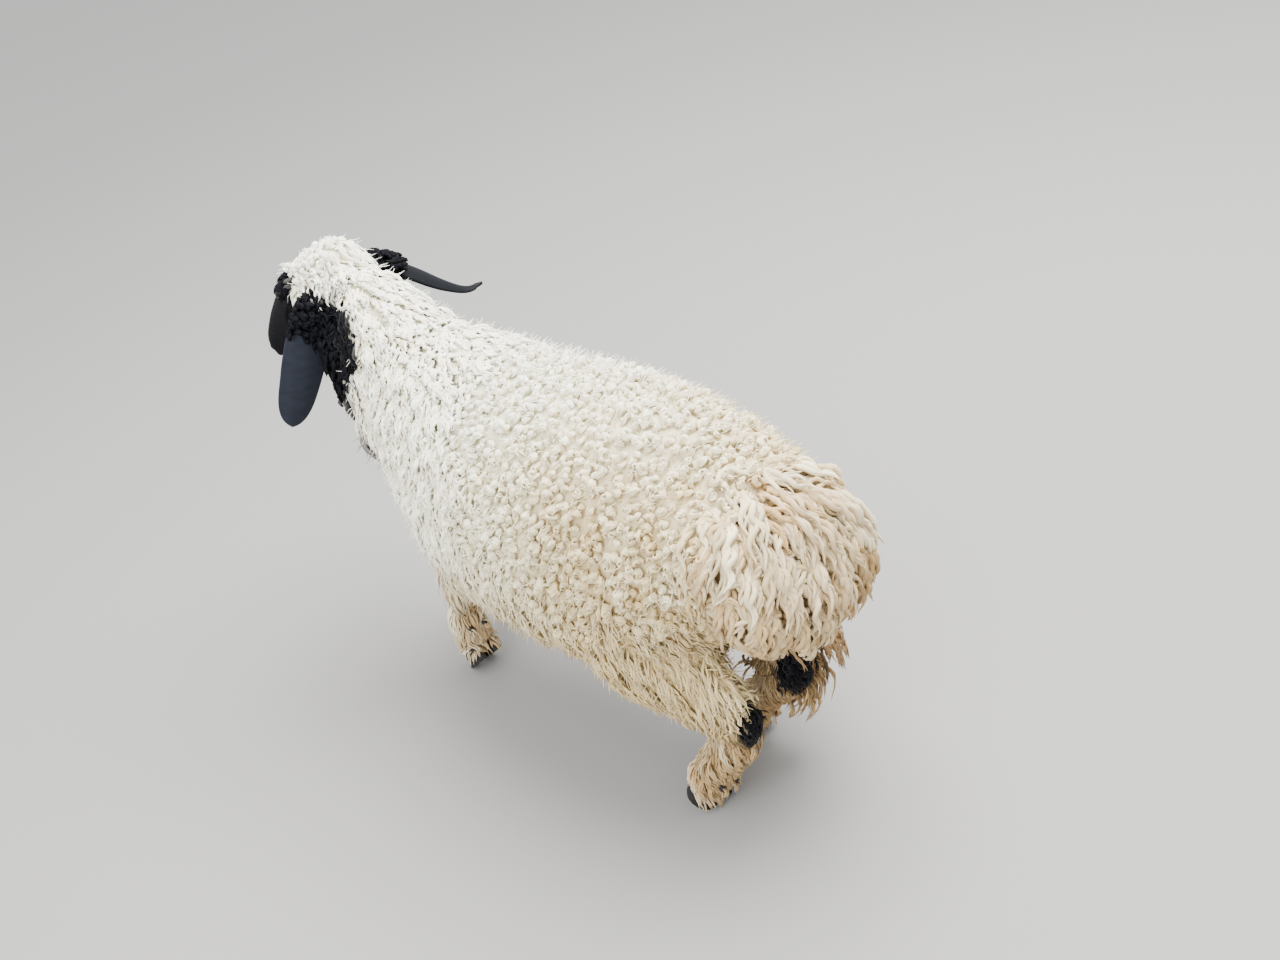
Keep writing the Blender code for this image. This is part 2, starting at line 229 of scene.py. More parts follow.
def dark_share(points):
    """1 where black wool grows, with a sharper edge than the black itself."""
    return ramp(black_share(points), 0.35, 0.65)


def woolly(points):
    """1 where wool grows, 0 on face, feet and round the eyes."""
    return (1 - face_share(points)) * (1 - leg_share(points)) * ramp(eye_gap(points), 0.024, 0.032)


def poll_share(points):
    """1 on the poll and forehead, where the wool curls in a topknot."""
    q = to_head(points)
    return ramp(q[:, 1] + 0.008 * mottle(points, 0.03, 24), 0.052, 0.036) * ramp(q[:, 2], -0.080, -0.060)


def hanging_share(points):
    """1 low on the sides, thighs and belly, where the coat hangs straight."""
    line = 0.405 + 0.030 * mottle(points, 0.10, 21) - 0.03 * ramp(points[:, 1], 0.10, 0.30)
    return ramp(points[:, 2], line + 0.040, line - 0.040) * (1 - tail_share(points))


def wavy_share(points):
    """1 on head, neck, shoulders and withers, where the coat is soft and wavy."""
    start = 0.020 + 0.06 * mottle(points, 0.12, 22) - 0.09 * ramp(points[:, 2], 0.50, 0.60)
    return np.maximum(ramp(points[:, 1], start + 0.06, start - 0.06), head_share(points))


# Colours of the coat, with painted light on top and painted shade low down, under the belly and on the
# thighs.


def tone(name):
    """One of the sheep's colours, as its properties give it."""
    return np.array(getattr(bpy.context.scene.sheep_colours, name))


def fleece_tone(points, normals, fine):
    """White above and in front, cream to tan below and behind. The white on top is partly painted light from
    above, the peach low on the sides partly painted shade, and the tan on the underside painted shade.
    """
    height, depth = points[:, 2], points[:, 1]
    # The height term whitens the top: partly the wool's own colour, partly painted light from above.
    pale = 0.25 + ramp(depth, 0.26, -0.12) * 0.75 + ramp(height, 0.54, 0.66) * 0.55 + 0.15 * fine
    colour = mix(np.tile(tone("cream"), (len(points), 1)), tone("white"), np.clip(pale, 0, 1))
    # Peach low on the sides: partly the wool's own colour, partly painted shade.
    low = ramp(height + 0.025 * mottle(points, 0.16, 11) - 0.05 * ramp(depth, 0.05, 0.35), 0.46, 0.24)
    low = np.clip(low * 0.75 + 0.12 * fine * low, 0, 1) * ramp(depth, -0.46, -0.15)
    colour = mix(colour, tone("peach"), low)
    # Painted shade: tan where the surface faces down under the belly.
    under = ramp(normals[:, 2], -0.20, -0.75) * ramp(height, 0.45, 0.34)
    colour = mix(colour, tone("tan"), under * 0.8)
    behind = ramp(depth, 0.14, 0.36) * ramp(height, 0.68, 0.52)
    return mix(colour, tone("peach"), np.clip(behind * (0.66 + 0.34 * fine), 0, 1))


def painted_shade(colour, points, fine):
    """The fleece's colour with painted shade: browner on the right thigh and between the thighs."""
    height, depth = points[:, 2], points[:, 1]
    # Painted shade on the far, right thigh, low and behind.
    thigh = ramp(points[:, 0], -0.01, -0.05) * ramp(height, 0.40, 0.32) * ramp(depth, 0.36, 0.44)
    thigh = thigh * (1 - tail_share(points)) * 0.85
    colour = mix(colour, mix(tone("tan"), tone("brown"), 0.42 + 0.15 * fine), thigh)
    # Painted shade between the thighs.
    inner = ramp(np.abs(points[:, 0]), 0.085, 0.045) * ramp(height, 0.42, 0.36) * ramp(depth, 0.15, 0.25)
    return mix(colour, tone("brown"), inner * 0.65)


def leg_tone(points, normals, fine):
    """Pale in front and tan behind, and darker on the hind legs."""
    shade = np.clip(0.58 + 0.5 * normals[:, 1] + 0.25 * fine + 0.40 * ramp(points[:, 1], 0.20, 0.30), 0, 1)
    return mix(mix(tone("cream"), tone("white"), 0.3), tone("tan"), shade)


def tail_tone(points, fine):
    """Cream, with more tan towards the tips and the right side."""
    height = points[:, 2]
    tinge = np.clip(0.66 + 0.36 * fine + ramp(height + 0.02 * fine, 0.52, 0.36) * 0.26
                    + 0.45 * ramp(points[:, 0], 0.00, -0.09) * ramp(height, 0.48, 0.40), 0, 1)
    return mix(mix(tone("cream"), tone("white"), 0.15), tone("tan"), tinge)


def markings_and_shading(points, normals):
    """The colour of skin and wool at each point, with painted light on top and painted shade under the belly
    and on the thighs.
    """
    height, depth = points[:, 2], points[:, 1]
    fine = mottle(points, 0.045, 12)
    # Painted shade on the right thigh and between the thighs.
    colour = painted_shade(fleece_tone(points, normals, fine), points, fine)
    colour = mix(colour, leg_tone(points, normals, fine), leg_share(points) * 0.9)
    colour = mix(colour, tail_tone(points, fine), tail_share(points) * 0.95)
    streaks = ramp(mottle(points * [1, 1, 0.4], 0.032, 7), 0.25, 0.90)
    neck = ramp(depth, POLL[1] + 0.330, POLL[1] + 0.180) * ramp(height, 0.70, 0.62) * ramp(height, 0.36, 0.44)
    colour = mix(colour, tone("tan"), streaks * neck * 0.28)
    throat = throat_share(points) * ramp(mottle(points * [1, 1, 0.35], 0.030, 5), -0.35, 0.05)
    colour = mix(colour, tone("grey"), throat)
    return mix(colour, tone("black"), black_share(points))


# Depth and lie of the coat.


def coat_depth(points):
    """How far the coat stands off the skin."""
    q = to_head(points)
    head = head_share(points)
    woolly_depth = BODY_DEPTH + 0.005 * tail_share(points)
    depth = woolly_depth * (1 - leg_share(points)) + LEG_DEPTH * leg_share(points)
    on_head = 0.007 * ramp(q[:, 2], -0.010, 0.030) + 0.010
    depth = depth * (1 - head) + on_head * head
    depth = depth * (1 - face_share(points)) + FACE_DEPTH * face_share(points)
    near_eye = ramp(eye_gap(points), 0.040, 0.022)
    return depth * (1 - near_eye) + LID_DEPTH * near_eye


def skin_depth(points):
    """How far the skin lies inside the solids: the coat's depth, less at the jaw, more at the shoulders."""
    gap = (np.abs(points) - [0.165, 0.245, 0.360]) / [0.080, 0.090, 0.120]
    shoulder = np.exp(-(gap**2).sum(1)) * (points[:, 1] < 0)
    outer = ramp(points[:, 2], 0.080, 0.130) * ramp(points[:, 2], 0.300, 0.240) * (points[:, 1] < -0.1)
    outer *= ramp(np.abs(points[:, 0]), 0.090, 0.125) * (1 - leg_share(points) * 0.2)
    return coat_depth(points) * (1 - 0.85 * jaw_share(points)) + 0.026 * shoulder + 0.009 * outer


def lie(points, normals):
    """The way the coat lies, along the surface."""
    q = to_head(points)
    side = np.abs(normals[:, 0])
    way = np.stack([0 * side, 1.0 - 0.55 * side, -0.25 - 0.95 * side], axis=1)
    neck = ramp(points[:, 1], POLL[1] + 0.260, POLL[1] + 0.120)
    way = mix(way, np.array([0, 0.55, -0.85]), neck)
    way = mix(way, np.array([0, 0.15, -1.0]), leg_share(points))
    fan = points - TAIL_HEAD
    fan = unit(fan * [1.0, 0.6, 1.0]) + np.array([0, 0.1, -0.55])
    way = mix(way, fan, tail_share(points))
    top = np.stack([0.6 * q[:, 0] / 0.06, 0.25 + 0 * side, 0 * side], axis=1)
    forelock = mix(top, np.array([0, -1.0, 0.1]), ramp(q[:, 1], -0.020, -0.060))
    cheek = np.array([0, 0.30, -1.0])
    on_head = mix(cheek, forelock, ramp(q[:, 2], -0.010, 0.020))
    on_head = mix(on_head, np.array([0, 0.85, -0.5]), face_share(points))
    way = mix(way, on_head @ HEAD.T, head_share(points))
    way = way - (way * normals).sum(1, keepdims=True) * normals
    return unit(way)


# Meshes and materials.


def add_piece(name, mesh, look):
    """Puts a finished mesh into the scene as a piece of the sheep."""
    obj = bpy.data.objects.new(name, mesh)
    bpy.context.scene.collection.objects.link(obj)
    mesh.materials.clear()
    mesh.materials.append(material(look))
    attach(obj, "root")
    return obj


def mesh_from(bm, name):
    """A new mesh of what bm holds; bm is freed."""
    mesh = bpy.data.meshes.new(name)
    bm.to_mesh(mesh)
    bm.free()
    return mesh


def baked(obj):
    """The mesh of obj with its modifiers applied; obj is removed."""
    view = bpy.context.evaluated_depsgraph_get()
    view.update()
    mesh = bpy.data.meshes.new_from_object(obj.evaluated_get(view))
    bpy.data.objects.remove(obj, do_unlink=True)
    return mesh


def read(data, field, width, kind=np.float64):
    """A field of each vertex, corner or triangle, as rows of an array."""
    values = np.empty(len(data) * width, kind)
    data.foreach_get(field, values)
    return values.reshape(-1, width) if width > 1 else values


def store_colour(mesh, colours):
    """Gives the mesh its colours, painted light and shade included, a colour for each vertex."""
    layer = mesh.attributes.new("markings_and_shading", "FLOAT_COLOR", "POINT")
    layer.data.foreach_set("color", np.c_[colours, np.ones(len(colours))].astype(np.float32).ravel())


def bridge(bm, *rings):
    """Closes the wall between two rings of vertices."""
    rims = {edge for ring in rings for vert in ring for edge in vert.link_edges
            if edge.other_vert(vert) in ring}
    bmesh.ops.bridge_loops(bm, edges=list(rims))


def node_group(name, inputs, outputs):
    """An empty shader group with sockets, and its nodes for what comes in and goes out."""
    group = bpy.data.node_groups.new(name, "ShaderNodeTree")
    for label, kind, default in inputs:
        socket = group.interface.new_socket(label, in_out="INPUT", socket_type=kind)
        socket.default_value = default
    for label, kind in outputs:
        group.interface.new_socket(label, in_out="OUTPUT", socket_type=kind)
    return group, group.nodes.new("NodeGroupInput"), group.nodes.new("NodeGroupOutput")


@cache
def fibre_group():
    """Fine fibres: a tint that varies a little, and a normal with fine relief."""
    group, given, out = node_group(
        "fibres",
        (
            ("Color", "NodeSocketColor", (0.8, 0.8, 0.8, 1)),
            ("Scale", "NodeSocketFloat", 600.0),
            ("Relief", "NodeSocketFloat", 0.3),
            ("Tint", "NodeSocketFloat", 0.12),
            ("Distance", "NodeSocketFloat", 0.001),
        ),
        (("Color", "NodeSocketColor"), ("Normal", "NodeSocketVector")),
    )
    nodes, links = group.nodes, group.links
    place = nodes.new("ShaderNodeTexCoord")
    noise = nodes.new("ShaderNodeTexNoise")
    noise.inputs["Detail"].default_value = 3.0
    noise.inputs["Roughness"].default_value = 0.6
    links.new(place.outputs["Object"], noise.inputs["Vector"])
    links.new(given.outputs["Scale"], noise.inputs["Scale"])
    bump = nodes.new("ShaderNodeBump")
    links.new(noise.outputs["Fac"], bump.inputs["Height"])
    links.new(given.outputs["Relief"], bump.inputs["Strength"])
    links.new(given.outputs["Distance"], bump.inputs["Distance"])
    links.new(bump.outputs["Normal"], out.inputs["Normal"])
    centred = nodes.new("ShaderNodeMath")
    centred.operation = "SUBTRACT"
    centred.inputs[1].default_value = 0.5
    links.new(noise.outputs["Fac"], centred.inputs[0])
    strength = nodes.new("ShaderNodeMath")
    strength.operation = "MULTIPLY_ADD"
    strength.inputs[2].default_value = 1.0
    links.new(centred.outputs[0], strength.inputs[0])
    links.new(given.outputs["Tint"], strength.inputs[1])
    tinted = nodes.new("ShaderNodeVectorMath")
    tinted.operation = "SCALE"
    links.new(given.outputs["Color"], tinted.inputs[0])
    links.new(strength.outputs[0], tinted.inputs["Scale"])
    links.new(tinted.outputs[0], out.inputs["Color"])
    return group


# Each material's roughness, specular level and sheen, and its fibres' scale, relief, tint and distance.
LOOKS = {
    "short hair": (0.75, 0.08, 0.00, 900.0, 0.50, 0.50, 0.0008),
    "wool": (0.95, 0.10, 0.05, 700.0, 0.40, 0.20, 0.0008),
    "dark wool": (0.72, 0.08, 0.00, 700.0, 0.40, 0.60, 0.0008),
    "ear hair": (0.66, 0.13, 0.00, 800.0, 0.25, 0.50, 0.0006),
    "eye": (0.07, 0.16, 0.00, 300.0, 0.00, 0.00, 0.0001),
    "horn": (0.50, 0.25, 0.00, 260.0, 0.35, 0.80, 0.0010),
}


@cache
def material(name):
    """The material of that name, made when a piece first asks for it.

    Horn has one colour. The others take theirs from the piece's colour layer, which holds painted light and
    shade as well as the coat's own colours.
    """
    roughness, specular, sheen, scale, relief, tint, distance = LOOKS[name]
    made = bpy.data.materials.new(name)
    made.use_nodes = True
    nodes, links = made.node_tree.nodes, made.node_tree.links
    shader = nodes["Principled BSDF"]
    shader.inputs["Roughness"].default_value = roughness
    shader.inputs["Specular IOR Level"].default_value = specular
    shader.inputs["Sheen Weight"].default_value = sheen
    shader.inputs["Sheen Roughness"].default_value = 0.5
    fibres = nodes.new("ShaderNodeGroup")
    fibres.node_tree = fibre_group()
    fibres.inputs["Scale"].default_value = scale
    fibres.inputs["Relief"].default_value = relief
    fibres.inputs["Tint"].default_value = tint
    fibres.inputs["Distance"].default_value = distance
    if name == "horn":
        fibres.inputs["Color"].default_value = (*tone("horn"), 1)
    else:
        marks = nodes.new("ShaderNodeAttribute")
        marks.attribute_name = "markings_and_shading"
        links.new(marks.outputs["Color"], fibres.inputs["Color"])
    links.new(fibres.outputs["Color"], shader.inputs["Base Color"])
    links.new(fibres.outputs["Normal"], shader.inputs["Normal"])
    return made


# Skin.


def joined_flesh(swell=0.0007):
    """The solids of flesh as one closed mesh; each swells a little, to close the cuts between them."""
    bm = bmesh.new()
    for node in FLESH:
        bm.from_mesh(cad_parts[node].data)
    bmesh.ops.remove_doubles(bm, verts=bm.verts, dist=0.00001)
    bm.normal_update()
    for vert in bm.verts:
        vert.co += vert.normal * swell
    obj = bpy.data.objects.new("flesh copy", mesh_from(bm, "flesh copy"))
    bpy.context.scene.collection.objects.link(obj)
    remesh = obj.modifiers.new("one skin", "REMESH")
    remesh.mode = "VOXEL"
    remesh.voxel_size = bpy.context.scene.sheep_sizes.skin_grid
    soften = obj.modifiers.new("soften", "SMOOTH")
    soften.factor = 0.5
    soften.iterations = 14
    return baked(obj)


def corners_of(bm):
    """The places of bm's vertices."""
    return np.array([vert.co for vert in bm.verts])


def refine(bm, inside):
    """Halves the grid of the faces whose corners are all inside, and softens it there."""
    chosen = inside(corners_of(bm))
    bm.verts.ensure_lookup_table()
    edges = [edge for edge in bm.edges if chosen[edge.verts[0].index] and chosen[edge.verts[1].index]]
    bmesh.ops.subdivide_edges(bm, edges=edges, cuts=1, use_grid_fill=True)
    bm.verts.index_update()
    soft = inside(corners_of(bm))
    bmesh.ops.smooth_vert(bm, verts=[vert for vert in bm.verts if soft[vert.index]], factor=0.4,
                          use_axis_x=True, use_axis_y=True, use_axis_z=True)
    bm.verts.index_update()


def eye_axes(side):
    """An eye's own axes as rows, in the head's: along the slit, up and out."""
    out = unit(np.array([0.93 * side, -0.30, 0.10]))
    up = np.array([0, -0.12, 1.0])
    up = unit(up - (up @ out) * out)
    return np.stack([np.cross(up, out), up, out])


def shape_lids(q):
    """Draws the skin over each eyeball as lids, and behind it in the slit between them."""
    for side in (1, -1):
        centre = EYE_PLACE * [side, 1, 1]
        axes = eye_axes(side)
        local = (q - centre) @ axes.T / EYE_RADIUS
        across = np.hypot(local[:, 0], local[:, 1])
        near = (across < 2.6) & (local[:, 2] > -0.9)
        slit = 0.55 * (1 - (local[:, 0] / 0.93) ** 2) - np.abs(local[:, 1] - 0.05)
        lid = np.sqrt(np.maximum(1.13**2 - across**2, 0.15))
        behind = np.sqrt(np.maximum(0.85**2 - across**2, 0.01))
        target = np.where(slit > 0, behind, lid)
        share = np.where(slit > 0, 1.0, 1 - ramp(across, 1.05, 1.60))
        brow = 0.20 * np.exp(-(((local[:, 1] - 1.25) / 0.45) ** 2) - (local[:, 0] / 1.3) ** 2)
        height = local[:, 2] * (1 - share) + target * share + brow * (slit <= 0)
        local[:, 2] = np.where(near, height, local[:, 2])
        q = np.where(near[:, None], local * EYE_RADIUS @ axes + centre, q)
    return q


def shape_muzzle(q, normals):
    """Nostrils, the slit of the mouth and the groove of the upper lip."""
    inward = np.zeros(len(q))
    for side in (1, -1):
        spot = q - NOSTRIL * [side, 1, 1]
        long = unit(np.array([0.62 * side, 0.30, 0.62]))
        along = spot @ long
        off = np.linalg.norm(spot - along[:, None] * long, axis=1)
        inward += 0.0065 * np.exp(-((along / 0.0085) ** 4) - (off / 0.0034) ** 2)
        inward -= 0.0018 * np.exp(-((along / 0.0110) ** 4) - ((off - 0.0065) / 0.0028) ** 2)
    mouth = -0.0740 - 0.10 * np.clip(q[:, 1] - MUZZLE_TIP, 0, 0.06) - 0.0025 * np.cos(q[:, 0] * 90)
    inward += 0.0036 * np.exp(-(((q[:, 2] - mouth) / 0.0019) ** 2)) * ramp(q[:, 1], -0.178, -0.196)
    inward -= 0.0015 * np.exp(-(((q[:, 2] - mouth - 0.006) / 0.0040) ** 2)) * ramp(q[:, 1], -0.180, -0.200)
    lip = np.exp(-((q[:, 0] / 0.0018) ** 2)) * ramp(q[:, 1], -0.225, -0.240) * ramp(q[:, 2], -0.076, -0.068)
    inward += 0.0022 * lip * ramp(q[:, 2], -0.035, -0.050)
    return q - normals * inward[:, None]


def before_poll(points, gap):
    """True on the head from that distance before the poll, to the tip of the muzzle."""
    return (to_head(points)[:, 1] < -gap) & (head_share(points) > 0.5)


def near_lips(points):
    """True round nostrils and lips."""
    return np.linalg.norm(to_head(points) - [0, MUZZLE_TIP, -0.062], axis=1) < 0.040


def sculpted_skin():
    """The skin's mesh, inside the flesh by the depth of the coat, with its face."""
    bm = bmesh.new()
    flesh = joined_flesh()
    bm.from_mesh(flesh)
    bpy.data.meshes.remove(flesh)
    refine(bm, lambda points: before_poll(points, 0.050))
    refine(bm, lambda points: before_poll(points, 0.175) | (eye_gap(points) < 0.034))
    refine(bm, lambda points: (eye_gap(points) < 0.026) | near_lips(points))
    bm.normal_update()
    points = corners_of(bm)
    normals = np.array([vert.normal for vert in bm.verts])
    points = points - normals * skin_depth(points)[:, None]
    lift = 0.026 + 0.022 * ramp(points[:, 0], 0.020, 0.090)  # of the tail's lower edge, which bares the hocks
    points[:, 2] += lift * tail_share(points + [0, 0, 0.04]) * ramp(points[:, 2], 0.450, 0.300)
    q = shape_lids(shape_muzzle(to_head(points), normals @ HEAD))
    for vert, co in zip(bm.verts, from_head(q)):
        vert.co = co
    bmesh.ops.triangulate(bm, faces=[face for face in bm.faces if len(face.verts) > 4])
    mesh = mesh_from(bm, "skin")
    mesh.shade_smooth()
    return mesh


def unwrap(obj):
    """Lays the skin out flat, in islands of its own shape."""
    bpy.context.view_layer.objects.active = obj
    obj.select_set(True)
    bpy.ops.object.mode_set(mode="EDIT")
    bpy.ops.mesh.select_all(action="SELECT")
    bpy.ops.uv.smart_project(angle_limit=math.radians(75), island_margin=0.002)
    bpy.ops.object.mode_set(mode="OBJECT")
    obj.select_set(False)
    obj.data.uv_layers.active.name = "OFBake"


class SHEEP_OT_skin(bpy.types.Operator):
    """One skin for all the flesh, from muzzle to hooves"""

    bl_idname = "sheep.skin"
    bl_label = "Skin"

    def execute(self, context):
        mesh = sculpted_skin()
        obj = add_piece("skin", mesh, "short hair")
        unwrap(obj)
        points = read(mesh.vertices, "co", 3)
        normals = read(mesh.vertices, "normal", 3)
        colours = markings_and_shading(points, normals)
        # Under the wool the skin takes the locks' darker root colour: painted shade in the gaps between the
        # locks.
        under_wool = (1 - face_share(points)) * (1 - leg_share(points))
        under_wool *= 1 - ramp(black_share(points), 0, 0.5)
        store_colour(mesh, mix(colours, colours * ROOT_TINT, under_wool))
        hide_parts(*FLESH)
        return {"FINISHED"}


# Shapes of locks.


def add_strand(bm, path, sides, wide):
    """Adds a closed tapering strand to bm along a path whose rows are x, y, z and radius."""
    along = bm.verts.layers.float["along"]
    turn = bm.verts.layers.float["turn"]
    centres = [Vector(row[:3]) for row in path]
    last = None
    for i, row in enumerate(path):
        way = (centres[min(i + 1, len(path) - 1)] - centres[max(i - 1, 0)]).normalized()
        place = Matrix.Translation(centres[i]) @ way.to_track_quat("Z", "X").to_matrix().to_4x4()
        ends = i in (0, len(path) - 1)
        made = bmesh.ops.create_circle(bm, cap_ends=ends, segments=sides, radius=row[3], matrix=place)
        ring = made["verts"]
        for j, vert in enumerate(ring):
            vert[along] = i / (len(path) - 1)
            vert[turn] = j / sides
            vert.co.x += (vert.co.x - centres[i].x) * (wide - 1)
        if last:
            bridge(bm, ring, last)
        last = ring


def lock(strands, sides, length, wide=1.0):
    """A lock of strands along +Y, rising from the skin at z = 0: corners, triangles and places on the strand.

    The corners' y is given as a share of the lock's length.
    """
    bm = bmesh.new()
    bm.verts.layers.float.new("along")
    bm.verts.layers.float.new("turn")
    for path in strands:
        add_strand(bm, path, sides, wide)
    bmesh.ops.recalc_face_normals(bm, faces=bm.faces)
    bmesh.ops.triangulate(bm, faces=bm.faces)
    bm.verts.index_update()
    along, turn = bm.verts.layers.float["along"], bm.verts.layers.float["turn"]
    made = (
        np.array([vert.co for vert in bm.verts]) / [1, length, 1],
        np.array([[vert.index for vert in face.verts] for face in bm.faces]),
        np.array([[vert[along], vert[turn]] for vert in bm.verts]),
    )
    bm.free()
    return made


def pearl(rng, size, rings=10, sides=4):
    """A short fat curl whose tip winds in on itself."""
    tilt = math.radians(rng.uniform(15, 75))
    hand = rng.choice([-1, 1])
    turns = rng.uniform(0.85, 1.20)
    loop = rng.uniform(0.0030, 0.0040) * size
    path = []
    for i in range(rings):
        s = i / (rings - 1)
        rise = min(1.0, s / 0.25)
        wound = max(0.0, s - 0.2) / 0.8
        angle = -0.5 * math.pi + hand * 2 * math.pi * turns * wound
        radius = loop * (1.0 - 0.45 * wound) * rise
        path.append((
            radius * math.cos(angle),
            CURL_LENGTH / 2 + radius * math.sin(angle) * math.cos(tilt),
            -0.002 + 0.0125 * size * rise + radius * math.sin(angle) * math.sin(tilt),
            size * (0.0018 + 0.0012 * math.sin(math.pi * min(1.0, 0.25 + s))) * (1 - s**4) + 0.0007,
        ))
    return lock([path], sides, CURL_LENGTH)


def ringlet(rng, size, strands=3, rings=8, sides=3):
    """A flat curl of strands that wind in together."""
    hand = rng.choice([-1, 1])
    tilt = math.radians(rng.uniform(5, 45))
    turns = rng.uniform(0.75, 1.15)
    start = rng.uniform(0, 2 * math.pi)
    made = []
    for number in range(strands):
        share = number / (strands - 1)
        loop = size * (0.0084 - 0.0044 * share) * rng.uniform(0.92, 1.08)
        lag = rng.normal(0, 0.25)
        path = []
        for i in range(rings):
            s = i / (rings - 1)
            rise = min(1.0, s / 0.22)
            wound = max(0.0, s - 0.14) / 0.86
            angle = start + lag + hand * 2 * math.pi * turns * wound
            radius = loop * (1.0 - 0.60 * wound) * rise
            path.append((
                radius * math.cos(angle),
                CURL_LENGTH / 2 + radius * math.sin(angle) * math.cos(tilt),
                -0.002 + size * (0.0082 + 0.0034 * share + 0.0020 * wound) * rise
                + 0.55 * radius * math.sin(angle) * math.sin(tilt),
                size * 0.0021 * (0.8 + 0.35 * math.sin(math.pi * min(1.0, 0.2 + s * 0.8))) * (1 - s**4)
                + 0.0004,
            ))
        made.append(path)
    return lock(made, sides, CURL_LENGTH)


def wavy(rng, length, height, sway, turns, thick, rings, strands=2, sides=3, wide=1.3, flick=0.0, phase=None,
         blunt=3.0):
    """A tapering wavy lock that rises from the skin and lies along it.

    Its strands swing to one side and back turns times. With a phase, they swing together from there. The
    higher blunt is, the longer the strands stay thick.
    """
    made = []
    for _ in range(strands):
        start = rng.uniform(0, 2 * math.pi) if phase is None else phase + rng.normal(0, 0.35)
        count = turns * (rng.uniform(0.8, 1.25) if phase is None else 1.0)
        aside = rng.normal(0, thick * 1.4)
        reach = rng.uniform(0.85, 1.12)
        path = []
        for i in range(rings):
            s = i / (rings - 1)
            swing = sway * min(1.0, 0.2 + 1.5 * s)
            angle = start + 2 * math.pi * count * s
            path.append((
                aside * (1 - 0.6 * s) + swing * math.sin(angle),
                length * s * reach,
                -0.0015 + height * math.sin(0.5 * math.pi * min(1.0, 1.6 * s)) + 0.5 * swing * math.cos(angle)
                + flick * max(0.0, s - 0.65) ** 1.5,
                thick * (0.85 + 0.4 * math.sin(math.pi * min(1.0, 0.1 + s * 0.8))) * (1 - s**blunt) ** 0.7
                + 0.00025,
            ))
        made.append(path)
    return lock(made, sides, length, wide)


# Places for locks, and the locks set on them.


class Ground:
    """A mesh as places for wool to stand on."""

    def __init__(self, mesh, skin=None):
        mesh.calc_loop_triangles()
        self.points = read(mesh.vertices, "co", 3)
        self.normals = read(mesh.vertices, "normal", 3)
        self.corners = read(mesh.loop_triangles, "vertices", 3, np.int32)
        self.skin = skin
        if "OFBake" in mesh.uv_layers:
            loops = read(mesh.loop_triangles, "loops", 3, np.int32)
            self.uv = read(mesh.uv_layers["OFBake"].data, "uv", 2)[loops]
        a, b, c = (self.points[self.corners[:, i]] for i in range(3))
        self.area = np.linalg.norm(np.cross(b - a, c - a), axis=1) / 2
        self.tree = BVHTree.FromPolygons(self.points.tolist(), self.corners.tolist())

    def scatter(self, density, seed):
        """Random places, so many to the square metre: points, normals and spots on the skin's unwrap."""
        rng = np.random.default_rng(seed)
        face = rng.choice(len(self.area), size=int(density * self.area.sum()), p=self.area / self.area.sum())
        share = rng.random((len(face), 2))
        share[share.sum(1) > 1] = 1 - share[share.sum(1) > 1]
        share = np.c_[1 - share.sum(1), share][:, :, None]
        corners = self.corners[face]
        points = (self.points[corners] * share).sum(1)
        if self.skin:
            uv = self.skin.uv[[self.skin.tree.find_nearest(co)[2] for co in points.tolist()]].mean(1)
        else:
            uv = (self.uv[face] * share).sum(1)
        return points, unit((self.normals[corners] * share).sum(1)), uv


def claw_ground(skin):
    """The claws as places for wool to stand on."""
    bm = bmesh.new()
    for node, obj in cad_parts.items():
        if "claw" in node:
            bm.from_mesh(obj.data)
    bmesh.ops.remove_doubles(bm, verts=bm.verts, dist=0.00001)
    return Ground(mesh_from(bm, "claws copy"), skin)


class Body:
    """Several grounds together, as the surface that locks lie along."""

    def __init__(self, *grounds):
        self.grounds = grounds

    def nearest(self, points):
        """The nearest spots of the surface and its smooth normals there."""
        spots, normals = np.zeros((len(points), 3)), np.zeros((len(points), 3))
        least = np.full(len(points), np.inf)
        for ground in self.grounds:
            found = [ground.tree.find_nearest(co) for co in points.tolist()]
            gap = np.array([hit[3] for hit in found])
            faces = np.array([hit[2] for hit in found])
            closer = gap < least
            spots[closer] = np.array([hit[0] for hit in found])[closer]
            normals[closer] = ground.normals[ground.corners[faces]].sum(1)[closer]
            least = np.minimum(least, gap)
        return spots, unit(normals)

    def scatter(self, density, seed):
        """Random places on the first ground."""
        return self.grounds[0].scatter(density, seed)


def spaced(points, gap):
    """Indices of points that keep that gap from those before them."""
    keys = np.floor(points / gap).astype(int)
    grid, kept = {}, []
    steps = [(i, j, k) for i in (-1, 0, 1) for j in (-1, 0, 1) for k in (-1, 0, 1)]
    limit = gap * gap
    for index, ((kx, ky, kz), (px, py, pz)) in enumerate(zip(keys.tolist(), points.tolist())):
        for i, j, k in steps:
            if any((x - px) ** 2 + (y - py) ** 2 + (z - pz) ** 2 < limit
                   for x, y, z in grid.get((kx + i, ky + j, kz + k), ())):
                break
        else:
            kept.append(index)
            grid.setdefault((kx, ky, kz), []).append((px, py, pz))
    return np.array(kept, dtype=int)


def tree_of(points):
    """A tree that finds the nearest of the points."""
    tree = KDTree(len(points))
    for index, co in enumerate(points):
        tree.insert(co, index)
    tree.balance()
    return tree


